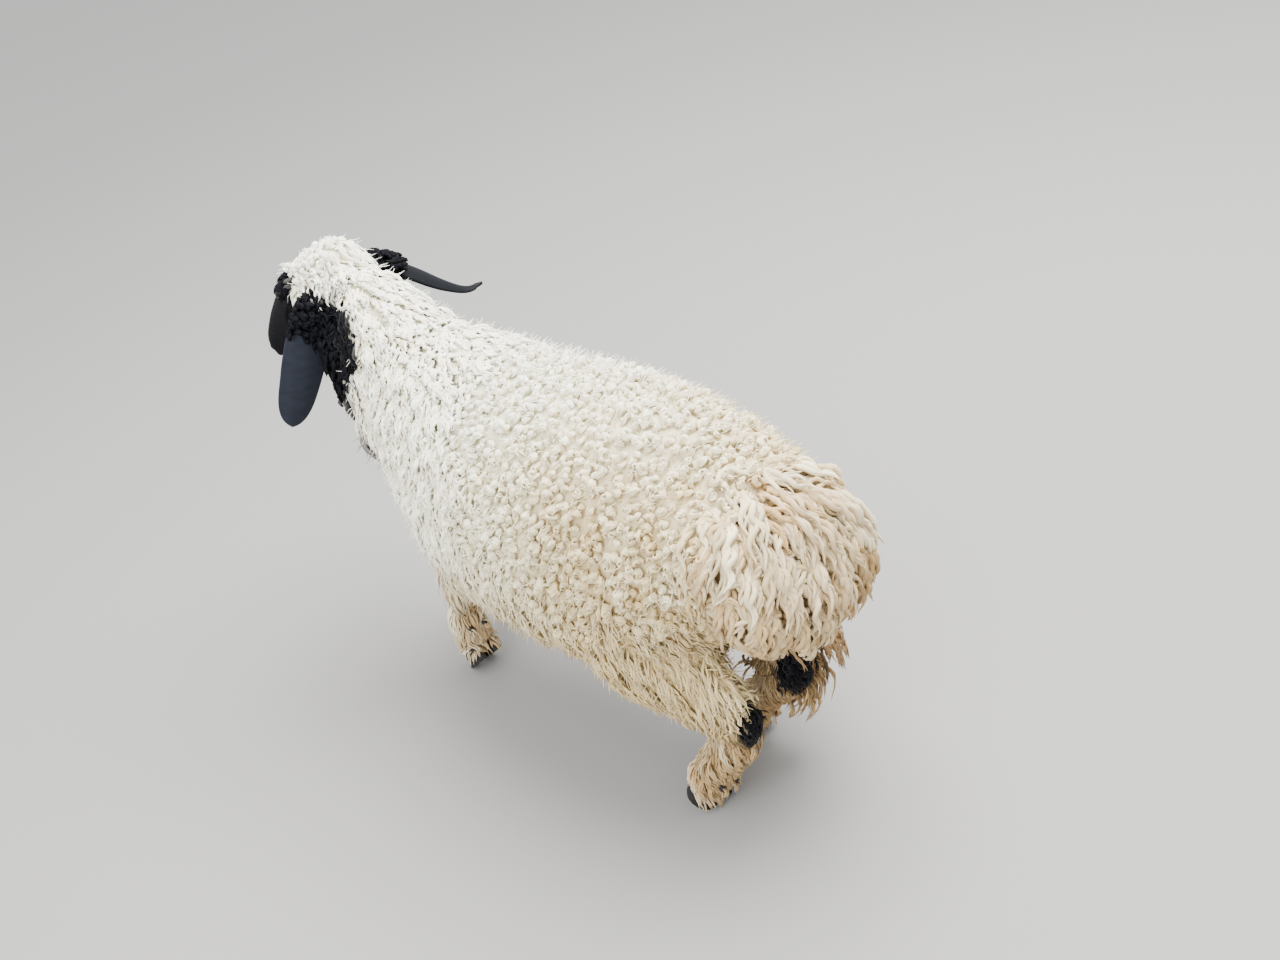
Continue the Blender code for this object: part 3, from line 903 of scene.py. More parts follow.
class Wool:
    """Roots of locks, and the paths over the surface that the locks follow.

    The roots stand where a region says, and gap apart. Each lock reaches so far, over so many knots, and
    strays from the lie of the coat by a random angle. Locks with clumps lean to the middle of their clump. A
    lock that clings less leaves the surface where it curves away, and one that droops turns to the floor.
    """

    def __init__(self, surface, region, seed, gap, reach, knots, stray, clumps=None, clump_gap=None, lean=0.8,
                 drift=0.5, cling=1.0, droop=0.0, ground=None):
        points, normals, uv = (ground or surface).scatter(2.6 / gap**2, seed)
        rng = np.random.default_rng(seed + 1)
        keep = rng.random(len(points)) < region(points, normals)
        points, normals, uv = points[keep], normals[keep], uv[keep]
        kept = spaced(points, gap)
        self.points, self.normals, self.uv, self.rng = points[kept], normals[kept], uv[kept], rng
        self.colour = markings_and_shading(self.points, self.normals)
        count = len(self.points)
        self.edge = np.zeros(count)
        self.height = coat_depth(self.points) / BODY_DEPTH * rng.normal(1.0, 0.07, count)
        self.across = rng.uniform(0.88, 1.15, count)
        way = lie(self.points, self.normals)
        if clumps is not None:
            way = self.gather(way, clumps, clump_gap, lean)
        angle = rng.normal(0, stray, count)[:, None]
        way = way * np.cos(angle) + np.cross(way, self.normals) * np.sin(angle)
        reach = reach(self.points) if callable(reach) else reach
        self.trace(surface, way, reach * rng.uniform(0.85, 1.15, count), knots, drift, cling, droop)

    def gather(self, way, clumps, gap, pull):
        """Leans the locks to the middle of their clump and sinks those at its edge."""
        nearest = np.array([clumps.find(co)[0] for co in self.points])
        lean = nearest - self.points
        lean -= (lean * self.normals).sum(1, keepdims=True) * self.normals
        far = np.linalg.norm(lean, axis=1)
        self.edge = ramp(far, gap * 0.25, gap * 0.60)
        self.height *= 1.12 - 0.42 * self.edge
        return unit(way + pull * lean / (gap / 2) * ramp(far, 0, gap / 2)[:, None])

    def trace(self, surface, way, reach, knots, drift, cling, droop):
        """Walks each lock over the surface, from its own way to the way the coat lies."""
        step = (reach / (knots - 1))[:, None]
        spots, ups, ways = [self.points], [self.normals], [way]
        for _ in range(knots - 1):
            ahead = spots[-1] + ways[-1] * step
            near, out = surface.nearest(ahead)
            gap = np.maximum(((ahead - near) * out).sum(1, keepdims=True), 0)
            way = mix(ways[-1], lie(near, out), drift)
            way = way - (way * out).sum(1, keepdims=True) * out * cling
            way = unit(way + droop * DOWN)
            up = out + 0.5 * ups[-1]
            spots.append(near + out * gap * (1 - cling))
            ups.append(unit(up - (up * way).sum(1, keepdims=True) * way))
            ways.append(way)
        self.spots, self.ups, self.ways = (np.stack(rows, axis=1) for rows in (spots, ups, ways))

    def bend(self, chosen, shape):
        """The corners of a lock's shape, bent along the paths of the chosen roots."""
        knots = self.spots.shape[1]
        place = shape[:, 1] * (knots - 1)
        first = np.clip(np.floor(place).astype(int), 0, knots - 2)
        share = (place - first)[None, :, None]

        def between(rows):
            return rows[chosen][:, first] * (1 - share) + rows[chosen][:, first + 1] * share

        spot, up, way = between(self.spots), unit(between(self.ups)), unit(between(self.ways))
        aside = np.cross(way, up)
        wide = (shape[None, :, 0] * self.across[chosen, None])[:, :, None]
        tall = (shape[None, :, 2] * self.height[chosen, None])[:, :, None]
        return spot + aside * wide + up * tall

    def tones(self, vary, root_tint):
        """The colour of each lock at its root and at its tip. Roots are darker, partly the wool's root tone
        and partly painted shade between the locks, and tips at a clump's edge turn peach as painted shade in
        the valleys between clumps.
        """
        count = len(self.points)
        pale = ramp(self.colour.mean(1), 0.15, 0.40)
        shade = self.rng.normal(1.0, vary, (count, 1))
        # Peach at a clump's edge is painted shade in the valley between clumps; the rest differs at random.
        warm = np.clip(self.edge * 0.16 + self.rng.normal(0.03, 0.05, count), 0, 0.6) * pale
        tip = mix(self.colour, tone("peach"), warm) * shade
        return mix(tip * DARK_ROOT_SHARE, tip * root_tint, pale), tip


def plant(name, wool, shapes, look="wool", vary=0.05, root_tint=ROOT_TINT, crimp=None):
    """Joins a lock at each root into pieces of solid mesh.

    With a crimp, the length of a wave, the shapes are steps of one wave and each root takes its own step.
    """
    count = len(wool.points)
    kind = wool.rng.integers(0, len(shapes), count)
    if crimp:
        step = (wool.points * wool.ways[:, 0]).sum(1) / crimp + 0.25 * mottle(wool.points, 0.09, 41)
        kind = np.floor(step % 1 * len(shapes)).astype(int)
    order = np.argsort(wool.points[:, 1] + 0.02 * wool.rng.random(count))
    root, tip = wool.tones(vary, root_tint)
    most = max(len(triangles) for _, triangles, _ in shapes)
    limit = bpy.context.scene.sheep_sizes.piece_triangles // most
    pieces = max(1, math.ceil(count / limit))
    for number, chosen in enumerate(np.array_split(order, pieces)):
        corners, faces, colours, spots = [], [], [], []
        base = 0
        for index, (shape, triangles, places) in enumerate(shapes):
            mine = chosen[kind[chosen] == index]
            if not len(mine):
                continue
            placed = wool.bend(mine, shape).reshape(-1, 3)
            placed[:, 2] = np.maximum(placed[:, 2], LEAST_HEIGHT)
            corners.append(placed)
            starts = base + np.arange(len(mine)) * len(shape)
            faces.append((triangles[None] + starts[:, None, None]).reshape(-1, 3))
            base += len(mine) * len(shape)
            # Each corner fades from the lock's darker root, partly painted shade, to its tip.
            fade = np.minimum(places[:, 0] * 2.2, 1.0)[None, :, None]
            colours.append((root[mine][:, None] * (1 - fade) + tip[mine][:, None] * fade).reshape(-1, 3))
            patch = (np.stack([places[:, 1], places[:, 0]], axis=1) - 0.5) * PATCH
            spots.append((wool.uv[mine][:, None, :] + patch[None]).reshape(-1, 2))
        mesh = mesh_of(np.concatenate(corners), np.concatenate(faces), np.concatenate(spots))
        store_colour(mesh, np.clip(np.concatenate(colours), DARKEST, PALEST))
        add_piece(f"{name}_{number + 1}" if pieces > 1 else name, mesh, look)


def mesh_of(corners, faces, spots):
    """A smooth mesh of repeated shapes, with the unwrap's spot of each corner."""
    mesh = bpy.data.meshes.new("locks")
    mesh.vertices.add(len(corners))
    mesh.vertices.foreach_set("co", corners.astype(np.float32).ravel())
    mesh.loops.add(len(faces) * 3)
    mesh.loops.foreach_set("vertex_index", faces.astype(np.int32).ravel())
    mesh.polygons.add(len(faces))
    mesh.polygons.foreach_set("loop_start", np.arange(0, len(faces) * 3, 3, dtype=np.int32))
    mesh.update(calc_edges=True)
    layer = mesh.uv_layers.new(name="OFBake")
    layer.data.foreach_set("uv", spots[faces.ravel()].astype(np.float32).ravel())
    mesh.shade_smooth()
    return mesh


# Where each piece of the coat grows. A region gives each root's chance, from its point and its normal.


def curly(points, normals):
    """Back and rump."""
    body = woolly(points) * (1 - tail_share(points)) * (1 - hanging_share(points)) * (1 - wavy_share(points))
    return body * (1 - dark_share(points))


def flowing(points, normals):
    """Neck, shoulders and withers."""
    body = woolly(points) * wavy_share(points) * (1 - hanging_share(points))
    return body * (1 - dark_share(points) * head_share(points)) * (1 - poll_share(points))


def topknot(points, normals):
    """Poll and forehead."""
    return woolly(points) * poll_share(points) * (1 - dark_share(points))


def fringe(points, normals):
    """The topknot's edge, over brow and cheeks."""
    q = to_head(points)
    return topknot(points, normals) * np.maximum(ramp(q[:, 1], -0.050, -0.065), ramp(q[:, 2], 0.022, 0.008))


def forelock(points, normals):
    """The topknot's front, over the forehead."""
    q = to_head(points)
    return topknot(points, normals) * ramp(q[:, 1], -0.062, -0.074) * ramp(q[:, 2], 0.004, 0.014)


def hanging(points, normals):
    """Flanks, belly and thighs."""
    return woolly(points) * hanging_share(points) * (1 - head_share(points))


def cheeks(points, normals):
    """Black wool of the head."""
    return woolly(points) * dark_share(points) * head_share(points)


def bearded(points, normals):
    """Jaw and side of the throat."""
    return jaw_share(points) * dark_share(points) * (1 - face_share(points))


def ear_roots(points, normals):
    """Near the root of either ear."""
    q = to_head(points)
    q[:, 0] = np.abs(q[:, 0])
    return ramp(np.linalg.norm(q - EAR_ROOT, axis=1), 0.080, 0.066)


def whole_tail(points, normals):
    """The fat tail."""
    return tail_share(points)


def flared(points, normals):
    """The right edge of the tail, where long locks stand out."""
    height = points[:, 2]
    edge = tail_share(points) * ramp(points[:, 0], -0.055, -0.085)
    return edge * ramp(height, 0.400, 0.425) * ramp(height, 0.520, 0.500)


def skirted(points, normals):
    """The hind legs below the thighs: most of the right one and the back of the left one."""
    side, depth, height = points.T
    far = ramp(side, -0.025, -0.040) * ramp(depth, 0.380, 0.410) * ramp(height, 0.110, 0.130)
    near = ramp(side, 0.060, 0.080) * ramp(height, 0.060, 0.075) * ramp(height, 0.165, 0.150)
    near *= ramp(normals[:, 1], -0.3, 0.2) * ramp(depth, 0.300, 0.330)
    low = ramp(depth, 0.530, 0.515) * ramp(height, 0.340, 0.310)
    return np.maximum(far, near) * low * (1 - dark_share(points))


def feathered(points, normals):
    """The lower legs, above the claws."""
    return leg_share(points) * (points[:, 2] > 0.030)


def fetlocks(points, normals):
    """The fetlocks; the left forefoot is lifted, so its own is higher."""
    lifted = 0.036 * ((points[:, 0] > 0.05) & (points[:, 1] < 0))
    return ramp(points[:, 2] - lifted, 0.095, 0.080) * (points[:, 2] > 0.026)


def crowned(points, normals):
    """The tops of the claws, and the dewclaws."""
    height = points[:, 2]
    return np.maximum(ramp(height, 0.040, 0.052) * (height < 0.060) * 0.5, ramp(height, 0.066, 0.070))


def short_haired(points, normals):
    """The face, but not the lids and the bare skin round the nostrils."""
    before_nostrils = ramp(to_head(points)[:, 1], -0.236, -0.222)
    return face_share(points) * ramp(eye_gap(points), 0.017, 0.020) * before_nostrils


def straying(points, normals):
    """All of the fleece, less where it is wavy."""
    return woolly(points) * (1 - tail_share(points)) * (1 - 0.6 * wavy_share(points))


def staple_reach(points):
    """How far the hanging locks reach: further on the thighs, and shorter over the hocks."""
    gap = np.min([np.linalg.norm(points - spot, axis=1) for spot in HOCKS], axis=0)
    return (0.040 + 0.030 * ramp(points[:, 2], 0.37, 0.27)) * (0.35 + 0.65 * ramp(gap, 0.055, 0.120))


def tail_reach(points):
    """How far the tail's locks reach: shorter at its lower edge."""
    return 0.072 * np.clip((points[:, 2] - 0.31) / 0.13, 0.22, 1.0)


def skirt_reach(points):
    """How far the locks below the thighs reach: further on the right leg."""
    return np.where(points[:, 0] > 0, 0.036, 0.040 + 0.016 * ramp(points[:, 2], 0.16, 0.22))


# Pieces of the coat.


@cache
def stock():
    """What the pieces of the coat share: the surfaces they stand on, the clumps, and the random numbers."""
    ground = Ground(bpy.data.objects["skin"].data)
    flaps = {word: Ground(bpy.data.objects["ear_flap_" + word].data, ground) for word in SIDES}
    gap = bpy.context.scene.sheep_sizes.clump_gap
    middles = ground.scatter(6000, 70)[0]
    return SimpleNamespace(
        ground=ground, flaps=flaps, skin=Body(ground), head=Body(ground, *flaps.values()),
        clumps=tree_of(middles[spaced(middles, gap)]), clump_gap=gap, rng=np.random.default_rng(7),
    )


class SHEEP_OT_fleece(bpy.types.Operator):
    """Ringlets on back and rump, waves on neck and shoulders"""

    bl_idname = "sheep.fleece"
    bl_label = "Fleece"

    def execute(self, context):
        coat, sizes = stock(), context.scene.sheep_sizes
        wool = Wool(coat.skin, curly, 71, sizes.curl_gap, reach=0.009, knots=2, stray=1.2,
                    clumps=coat.clumps, clump_gap=coat.clump_gap, lean=0.5)
        wool.height *= 1.0 + 0.2 * ramp(wool.points[:, 1], 0.0, 0.3)
        plant("coat_curls", wool, [ringlet(coat.rng, coat.rng.uniform(0.95, 1.30)) for _ in range(24)])
        wool = Wool(coat.skin, flowing, 73, sizes.wave_gap, reach=0.036, knots=5, stray=0.16,
                    clumps=coat.clumps, clump_gap=coat.clump_gap, lean=0.25)
        steps = 12
        shapes = [wavy(coat.rng, length=0.036, height=0.0150, sway=0.0028, turns=1.7, thick=0.0023, rings=8,
                       phase=2 * math.pi * step / steps, blunt=4.0) for step in range(steps)]
        plant("coat_waves", wool, shapes, root_tint=WAVE_ROOT_TINT, crimp=0.020)
        return {"FINISHED"}


class SHEEP_OT_topknot(bpy.types.Operator):
    """Curls on the poll, with a fringe and a forelock"""

    bl_idname = "sheep.topknot"
    bl_label = "Topknot"

    def execute(self, context):
        coat = stock()
        wool = Wool(coat.head, topknot, 74, 0.0068, reach=0.010, knots=3, stray=1.2)
        shapes = [ringlet(coat.rng, coat.rng.uniform(0.70, 1.00)) for _ in range(14)]
        plant("coat_poll", wool, shapes)
        wool = Wool(coat.head, fringe, 76, 0.0085, reach=0.030, knots=5, stray=0.35, droop=0.15)
        shapes = [wavy(coat.rng, length=0.030, height=0.0130, sway=0.0026, turns=1.3, thick=0.0019, rings=8)
                  for _ in range(10)]
        plant("coat_fringe", wool, shapes)
        wool = Wool(coat.head, forelock, 97, 0.0052, reach=0.030, knots=4, stray=0.4, drift=0.2, cling=0.15)
        wool.height *= 0.8
        shapes = [wavy(coat.rng, length=0.030, height=0.0130, sway=0.0026, turns=1.2, thick=0.0019, rings=7)
                  for _ in range(8)]
        plant("coat_forelock", wool, shapes)
        return {"FINISHED"}


class SHEEP_OT_staples(bpy.types.Operator):
    """Straight locks that hang from flanks, belly and thighs"""

    bl_idname = "sheep.staples"
    bl_label = "Staples"

    def execute(self, context):
        coat, sizes = stock(), context.scene.sheep_sizes
        wool = Wool(coat.skin, hanging, 75, sizes.staple_gap, reach=staple_reach, knots=5, stray=0.25,
                    clumps=coat.clumps, clump_gap=coat.clump_gap, cling=0.45, droop=0.35)
        shapes = [wavy(coat.rng, length=0.046, height=coat.rng.uniform(0.011, 0.016), sway=0.0028, turns=1.5,
                       thick=0.0015, rings=7, flick=0.01) for _ in range(14)]
        plant("coat_staples", wool, shapes)
        return {"FINISHED"}


class SHEEP_OT_cheeks(bpy.types.Operator):
    """Black curls on cheeks and ear roots"""

    bl_idname = "sheep.cheeks"
    bl_label = "Cheeks"

    def execute(self, context):
        coat = stock()
        wool = Wool(coat.head, cheeks, 77, 0.0060, reach=0.016, knots=3, stray=0.9)
        plant("coat_cheeks", wool, [pearl(coat.rng, 0.85) for _ in range(10)], "dark wool")
        for word, flap in coat.flaps.items():
            wool = Wool(Body(flap), ear_roots, 83, 0.0055, reach=0.016, knots=3, stray=0.9)
            wool.colour[:] = tone("black")
            wool.height[:] = 1.0
            shapes = [pearl(coat.rng, 1.0) for _ in range(10)]
            plant("coat_ear_root_" + word, wool, shapes, "dark wool")
        return {"FINISHED"}


class SHEEP_OT_tail(bpy.types.Operator):
    """Long wavy locks on the tail, with short wool under them and locks that stand out on its right edge"""

    bl_idname = "sheep.tail"
    bl_label = "Tail"

    def execute(self, context):
        coat, sizes = stock(), context.scene.sheep_sizes
        wool = Wool(coat.skin, whole_tail, 79, sizes.tail_gap, reach=tail_reach, knots=8, stray=0.22,
                    clumps=coat.clumps, clump_gap=0.02, drift=0.35, cling=0.9)
        shapes = [wavy(coat.rng, length=0.072, height=0.0190, sway=0.0042, turns=1.9, thick=0.0033, rings=13,
                       sides=4, wide=1.1, flick=0.02) for _ in range(12)]
        plant("coat_tail", wool, shapes, vary=0.09, root_tint=TAIL_ROOT_TINT)
        wool = Wool(coat.skin, whole_tail, 80, 0.0105, reach=0.009, knots=2, stray=1.2)
        wool.height *= 0.65
        plant("coat_tail_under", wool, [pearl(coat.rng, 1.1, 8) for _ in range(8)], root_tint=TAIL_ROOT_TINT)
        wool = Wool(coat.skin, flared, 82, 0.0110, reach=0.105, knots=7, stray=0.18, drift=0.0, cling=0.15)
        shapes = [wavy(coat.rng, length=0.105, height=0.0160, sway=0.0036, turns=2.4, thick=0.0028, rings=16,
                       sides=4, wide=1.1) for _ in range(8)]
        plant("coat_tail_flare", wool, shapes, root_tint=TAIL_ROOT_TINT)
        return {"FINISHED"}


class SHEEP_OT_skirt(bpy.types.Operator):
    """Locks that hang over the hind legs from the breeches"""

    bl_idname = "sheep.skirt"
    bl_label = "Skirt"

    def execute(self, context):
        coat = stock()
        wool = Wool(coat.skin, skirted, 91, 0.0062, reach=skirt_reach, knots=5, stray=0.4, drift=0.4,
                    cling=0.25, droop=0.3)
        fuller = 0.85 + 0.40 * ramp(wool.points[:, 2], 0.16, 0.22)
        wool.height[:] = np.where(wool.points[:, 0] > 0, 0.32, fuller)
        shapes = [wavy(coat.rng, length=0.056, height=coat.rng.uniform(0.008, 0.052), sway=0.0024, turns=1.4,
                       thick=0.0017, rings=8, strands=3, wide=1.2, blunt=2.4) for _ in range(16)]
        plant("coat_skirt", wool, shapes)
        return {"FINISHED"}


class SHEEP_OT_beard(bpy.types.Operator):
    """Black locks along the jaw and the side of the throat"""

    bl_idname = "sheep.beard"
    bl_label = "Beard"

    def execute(self, context):
        coat = stock()
        wool = Wool(coat.skin, bearded, 93, 0.0080, reach=0.026, knots=4, stray=0.4, cling=0.5, droop=0.4)
        shapes = [wavy(coat.rng, length=0.030, height=coat.rng.uniform(0.010, 0.024), sway=0.0028, turns=1.3,
                       thick=0.0028, rings=8, sides=4) for _ in range(10)]
        plant("coat_beard", wool, shapes, "dark wool")
        return {"FINISHED"}


class SHEEP_OT_leg_hair(bpy.types.Operator):
    """Short hair on the lower legs, and fetlocks over the claws"""

    bl_idname = "sheep.leg_hair"
    bl_label = "Leg hair"

    def execute(self, context):
        coat = stock()
        claws = claw_ground(coat.ground)
        feet = Body(coat.ground, claws)
        wool = Wool(coat.skin, feathered, 81, 0.0058, reach=0.020, knots=3, stray=0.3, cling=0.7)
        wool.height[:] = 1.0
        shapes = [wavy(coat.rng, length=0.020, height=0.0060, sway=0.0008, turns=0.8, thick=0.0009, rings=4,
                       wide=1.0, blunt=2.2) for _ in range(8)]
        plant("coat_legs", wool, shapes)
        wool = Wool(feet, fetlocks, 85, 0.0050, reach=0.036, knots=5, stray=0.3, cling=0.6, droop=0.35)
        wool.height[:] = 1.4
        shapes = [wavy(coat.rng, length=0.036, height=0.0090, sway=0.0014, turns=0.8, thick=0.0014, rings=6,
                       wide=1.2, blunt=2.2) for _ in range(8)]
        plant("coat_fetlocks", wool, shapes)
        wool = Wool(feet, crowned, 95, 0.0050, reach=0.019, knots=4, stray=0.3, cling=0.5, droop=0.35,
                    ground=claws)
        wool.height[:] = 1.0
        shapes = [wavy(coat.rng, length=0.019, height=0.0055, sway=0.0010, turns=0.8, thick=0.0011, rings=5,
                       wide=1.2, blunt=2.2) for _ in range(8)]
        plant("coat_crowns", wool, shapes)
        return {"FINISHED"}


class SHEEP_OT_face_hair(bpy.types.Operator):
    """Very short hair on the face"""

    bl_idname = "sheep.face_hair"
    bl_label = "Face hair"

    def execute(self, context):
        coat = stock()
        wool = Wool(coat.skin, short_haired, 89, 0.0042, reach=0.009, knots=3, stray=0.25)
        wool.height[:] = 1.0
        shapes = [wavy(coat.rng, length=0.009, height=0.0014, sway=0.0003, turns=0.6, thick=0.0004, rings=3,
                       wide=1.0, blunt=2.2) for _ in range(6)]
        plant("coat_face", wool, shapes, "dark wool")
        return {"FINISHED"}


class SHEEP_OT_wisps(bpy.types.Operator):
    """Fine single strands that stand out of the fleece"""

    bl_idname = "sheep.wisps"
    bl_label = "Wisps"

    def execute(self, context):
        coat = stock()
        wool = Wool(coat.skin, straying, 87, 0.0115, reach=0.018, knots=3, stray=1.0, drift=0.2, cling=0.4)
        wool.height *= 1 - 0.4 * head_share(wool.points)
        shapes = [wavy(coat.rng, length=0.018, height=0.0185, sway=0.0030, turns=0.8, thick=0.0006, rings=4,
                       strands=1, wide=1.0, flick=0.04, blunt=2.2) for _ in range(12)]
        plant("coat_wisps", wool, shapes)
        return {"FINISHED"}


# Eyes, ears and hooves.


def eyeball(side, word):
    """An eyeball's mesh, with its iris and a level slit for its pupil."""
    bm = bmesh.new()
    bmesh.ops.create_uvsphere(bm, u_segments=96, v_segments=64, radius=1.0)
    mesh = mesh_from(bm, "eyeball " + word)
    points = read(mesh.vertices, "co", 3)
    rounds = np.hypot(points[:, 0], points[:, 1])
    front = points[:, 2] > 0
    slit = np.hypot(np.maximum(np.abs(points[:, 0]) - 0.26, 0), points[:, 1])
    iris = mix(tone("iris"), tone("iris_rim"), ramp(rounds, 0.30, 0.62))
    colours = mix(np.tile(tone("eyeball"), (len(points), 1)), iris, front * ramp(rounds, 0.66, 0.60))
    colours = mix(colours, tone("pupil"), front * ramp(slit, 0.17, 0.13))
    swell = 1 + 0.035 * front * ramp(rounds, 0.62, 0.0)
    places = (points * swell[:, None] * EYE_RADIUS) @ eye_axes(side) + EYE_PLACE * [side, 1, 1]
    mesh.vertices.foreach_set("co", from_head(places).astype(np.float32).ravel())
    mesh.shade_smooth()
    store_colour(mesh, colours)
    return mesh


class SHEEP_OT_eyes(bpy.types.Operator):
    """Eyeballs with level slit pupils"""

    bl_idname = "sheep.eyes"
    bl_label = "Eyes"

    def execute(self, context):
        for word, side in SIDES.items():
            obj = add_piece("eyeball_" + word, eyeball(side, word), "eye")
            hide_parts("eye_" + word)
        return {"FINISHED"}


EAR_PATHS = {  # from the root inside the head, in the sheep's axes
    "left": (
        (0.000, 0.000, 0.000), (0.031, 0.000, -0.021), (0.055, -0.012, -0.079), (0.076, -0.037, -0.138),
        (0.095, -0.061, -0.190), (0.104, -0.077, -0.223),
    ),
    "right": (
        (0.000, 0.000, 0.000), (-0.038, 0.002, -0.012), (-0.088, 0.012, -0.055), (-0.136, 0.022, -0.102),
        (-0.172, 0.028, -0.128), (-0.203, 0.034, -0.130),
    ),
}
EAR_ACROSS = {"left": (-0.81, 0.53, -0.27), "right": (-0.42, -0.83, -0.36)}
EAR_TWIST = {"left": 0.0, "right": 20.0}  # degrees, about the ear's own length
EAR_TAPER = {"left": 0.16, "right": 0.50}  # of the width lost before the tip's rounding
EAR_WIDTH = {"left": 0.037, "right": 0.027}  # half of it
EAR_THICKNESS = (0.0100, 0.0075, 0.0050, 0.0040, 0.0034, 0.0026)  # half of it, at each point of the path
EAR_CUP = 0.009  # by which the ear's edges stand forward
EAR_RIM = 0.0012  # by which its rim is thicker
EAR_STEPS = 8  # rings from one point of the path to the next
TIP_SHARES = np.array([[0.35], [0.65], [0.85], [0.96], [1.0]])  # of the last step, where the tip's rings lie


def smooth_rows(rows, steps):
    """The rows with steps - 1 more between each pair, on smooth curves through every column."""
    rows = np.array(rows)
    made = []
    for i in range(len(rows) - 1):
        before, start, end, after = rows[max(i - 1, 0)], rows[i], rows[i + 1], rows[min(i + 2, len(rows) - 1)]
        for t in np.arange(steps) / steps:
            bow = 2 * before - 5 * start + 4 * end - after
            made.append(0.5 * (2 * start + (end - before) * t + bow * t**2
                               + (3 * start - before - 3 * end + after) * t**3))
    return np.array(made + [rows[-1]])


def ear_rows(word):
    """The middle line of an ear, from its root, with half its thickness; closer together at the tip."""
    rows = smooth_rows([(*spot, thick) for spot, thick in zip(EAR_PATHS[word], EAR_THICKNESS)], EAR_STEPS)
    return np.concatenate([rows[:-1], rows[-2:-1] + (rows[-1:] - rows[-2:-1]) * TIP_SHARES])


def ear_half(word, share):
    """Half the ear's width at that share of its length: widening, then tapering to a round tip."""
    half = EAR_WIDTH[word] * (0.45 + 0.55 * float(ramp(share, 0.0, 0.40)))
    half *= 1 - EAR_TAPER[word] * float(ramp(share, 0.45, 0.90))
    half *= max(1 - max((share - 0.72) / 0.281, 0) ** 2.4, 0.002) ** 0.5
    return half


def ear_axes(word, side, way):
    """Across the ear and out of its back, for the way that it runs."""
    deep = way.cross(Vector(EAR_ACROSS[word]).normalized()).normalized()
    deep = Matrix.Rotation(math.radians(EAR_TWIST[word]), 3, way) @ deep
    wide = deep.cross(way)
    return wide, -deep if deep.x * side > 0 else deep


def add_ear(bm, word, side):
    """Adds a cupped ear with a rim to bm, and gives the layer that says how far inside a corner is."""
    inner = bm.verts.layers.float.new("inner")
    base = Vector(from_head(EAR_ROOT * [side, 1, 1]))
    rows = ear_rows(word)
    places = rows[:, :3]
    last = None
    for i, row in enumerate(rows):
        way = Vector(places[min(i + 1, len(rows) - 1)] - places[max(i - 1, 0)]).normalized()
        wide, deep = ear_axes(word, side, way)
        share = np.linalg.norm(places[i] - places[0]) / np.linalg.norm(places[-1] - places[0])
        half = ear_half(word, share)
        cup = EAR_CUP * min(1.0, i / 12) * half / EAR_WIDTH[word]
        ends = i in (0, len(rows) - 1)
        ring = bmesh.ops.create_circle(bm, cap_ends=ends, segments=36, radius=1.0)["verts"]
        for vert in ring:
            x, y = vert.co.x, vert.co.y
            rim = EAR_RIM * math.exp(-(((abs(x) - 0.94) / 0.06) ** 2)) * (1 if y > 0 else -1)
            off = row[3] * y + cup * (x * x - 0.35) + rim * half / EAR_WIDTH[word]
            vert[inner] = max(0.0, y)
            vert.co = base + Vector(places[i]) + wide * (x * half) + deep * off
        if last:
            bridge(bm, ring, last)
        last = ring
    bmesh.ops.recalc_face_normals(bm, faces=bm.faces)
    return inner


class SHEEP_OT_ears(bpy.types.Operator):
    """Long hanging ears, cupped, with a rim"""

    bl_idname = "sheep.ears"
    bl_label = "Ears"

    def execute(self, context):
        for word, side in SIDES.items():
            bm = bmesh.new()
            inner = add_ear(bm, word, side)
            inside = np.array([vert[inner] for vert in bm.verts])
            mesh = mesh_from(bm, "ear " + word)
            mesh.shade_smooth()
            blotches = 0.5 + 0.2 * mottle(read(mesh.vertices, "co", 3), 0.02, 31)
            # Both ears have the same black hair, in a lit and a shaded copy: the left ear's slate blue is
            # painted sheen, the right ear's near black is painted shade.
            back = tone("ear_" + word)
            store_colour(mesh, mix(mix(back * 0.35, back, blotches), tone("ear_inside"), inside * 0.8))
            obj = add_piece("ear_flap_" + word, mesh, "ear hair")
            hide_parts("ear_" + word)
        return {"FINISHED"}


class SHEEP_OT_hooves(bpy.types.Operator):
    """Dark horn on claws and dewclaws"""

    bl_idname = "sheep.hooves"
    bl_label = "Hooves"

    def execute(self, context):
        for node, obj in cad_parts.items():
            if "claw" in node:
                for slot in obj.material_slots:
                    slot.material = material("horn")
        return {"FINISHED"}


# Stage.


def add_floor(scene, size=40.0):
    """A wide pale floor."""
    bm = bmesh.new()
    bmesh.ops.create_grid(bm, x_segments=1, y_segments=1, size=size)
    mesh = mesh_from(bm, "floor")
    floor = bpy.data.objects.new("floor", mesh)
    scene.collection.objects.link(floor)
    pale = bpy.data.materials.new("floor")
    pale.use_nodes = True
    shader = pale.node_tree.nodes["Principled BSDF"]
    shader.inputs["Base Color"].default_value = (*tone("floor"), 1)
    shader.inputs["Roughness"].default_value = 0.9
    mesh.materials.append(pale)


def add_light(scene):
    """An even sky, a key light from above and a weak fill light."""
    world = bpy.data.worlds.new("studio")
    world.use_nodes = True
    sky = world.node_tree.nodes["Background"]
    sky.inputs["Color"].default_value = (0.97, 0.98, 1.0, 1)
    sky.inputs["Strength"].default_value = 2.3
    scene.world = world
    middle_of_sheep = Vector((0, 0, 0.4))
    for name, spot, size, power in (
        ("key light", (-1.0, 0.4, 3.4), 3.2, 460.0),
        ("fill light", (2.6, 1.2, 2.0), 2.5, 90.0),
    ):
        lamp = bpy.data.lights.new(name, "AREA")
        lamp.shape = "DISK"
        lamp.size = size
        lamp.energy = power
        obj = bpy.data.objects.new(name, lamp)
        obj.location = spot
        obj.rotation_euler = (middle_of_sheep - Vector(spot)).to_track_quat("-Z", "Y").to_euler()
        scene.collection.objects.link(obj)


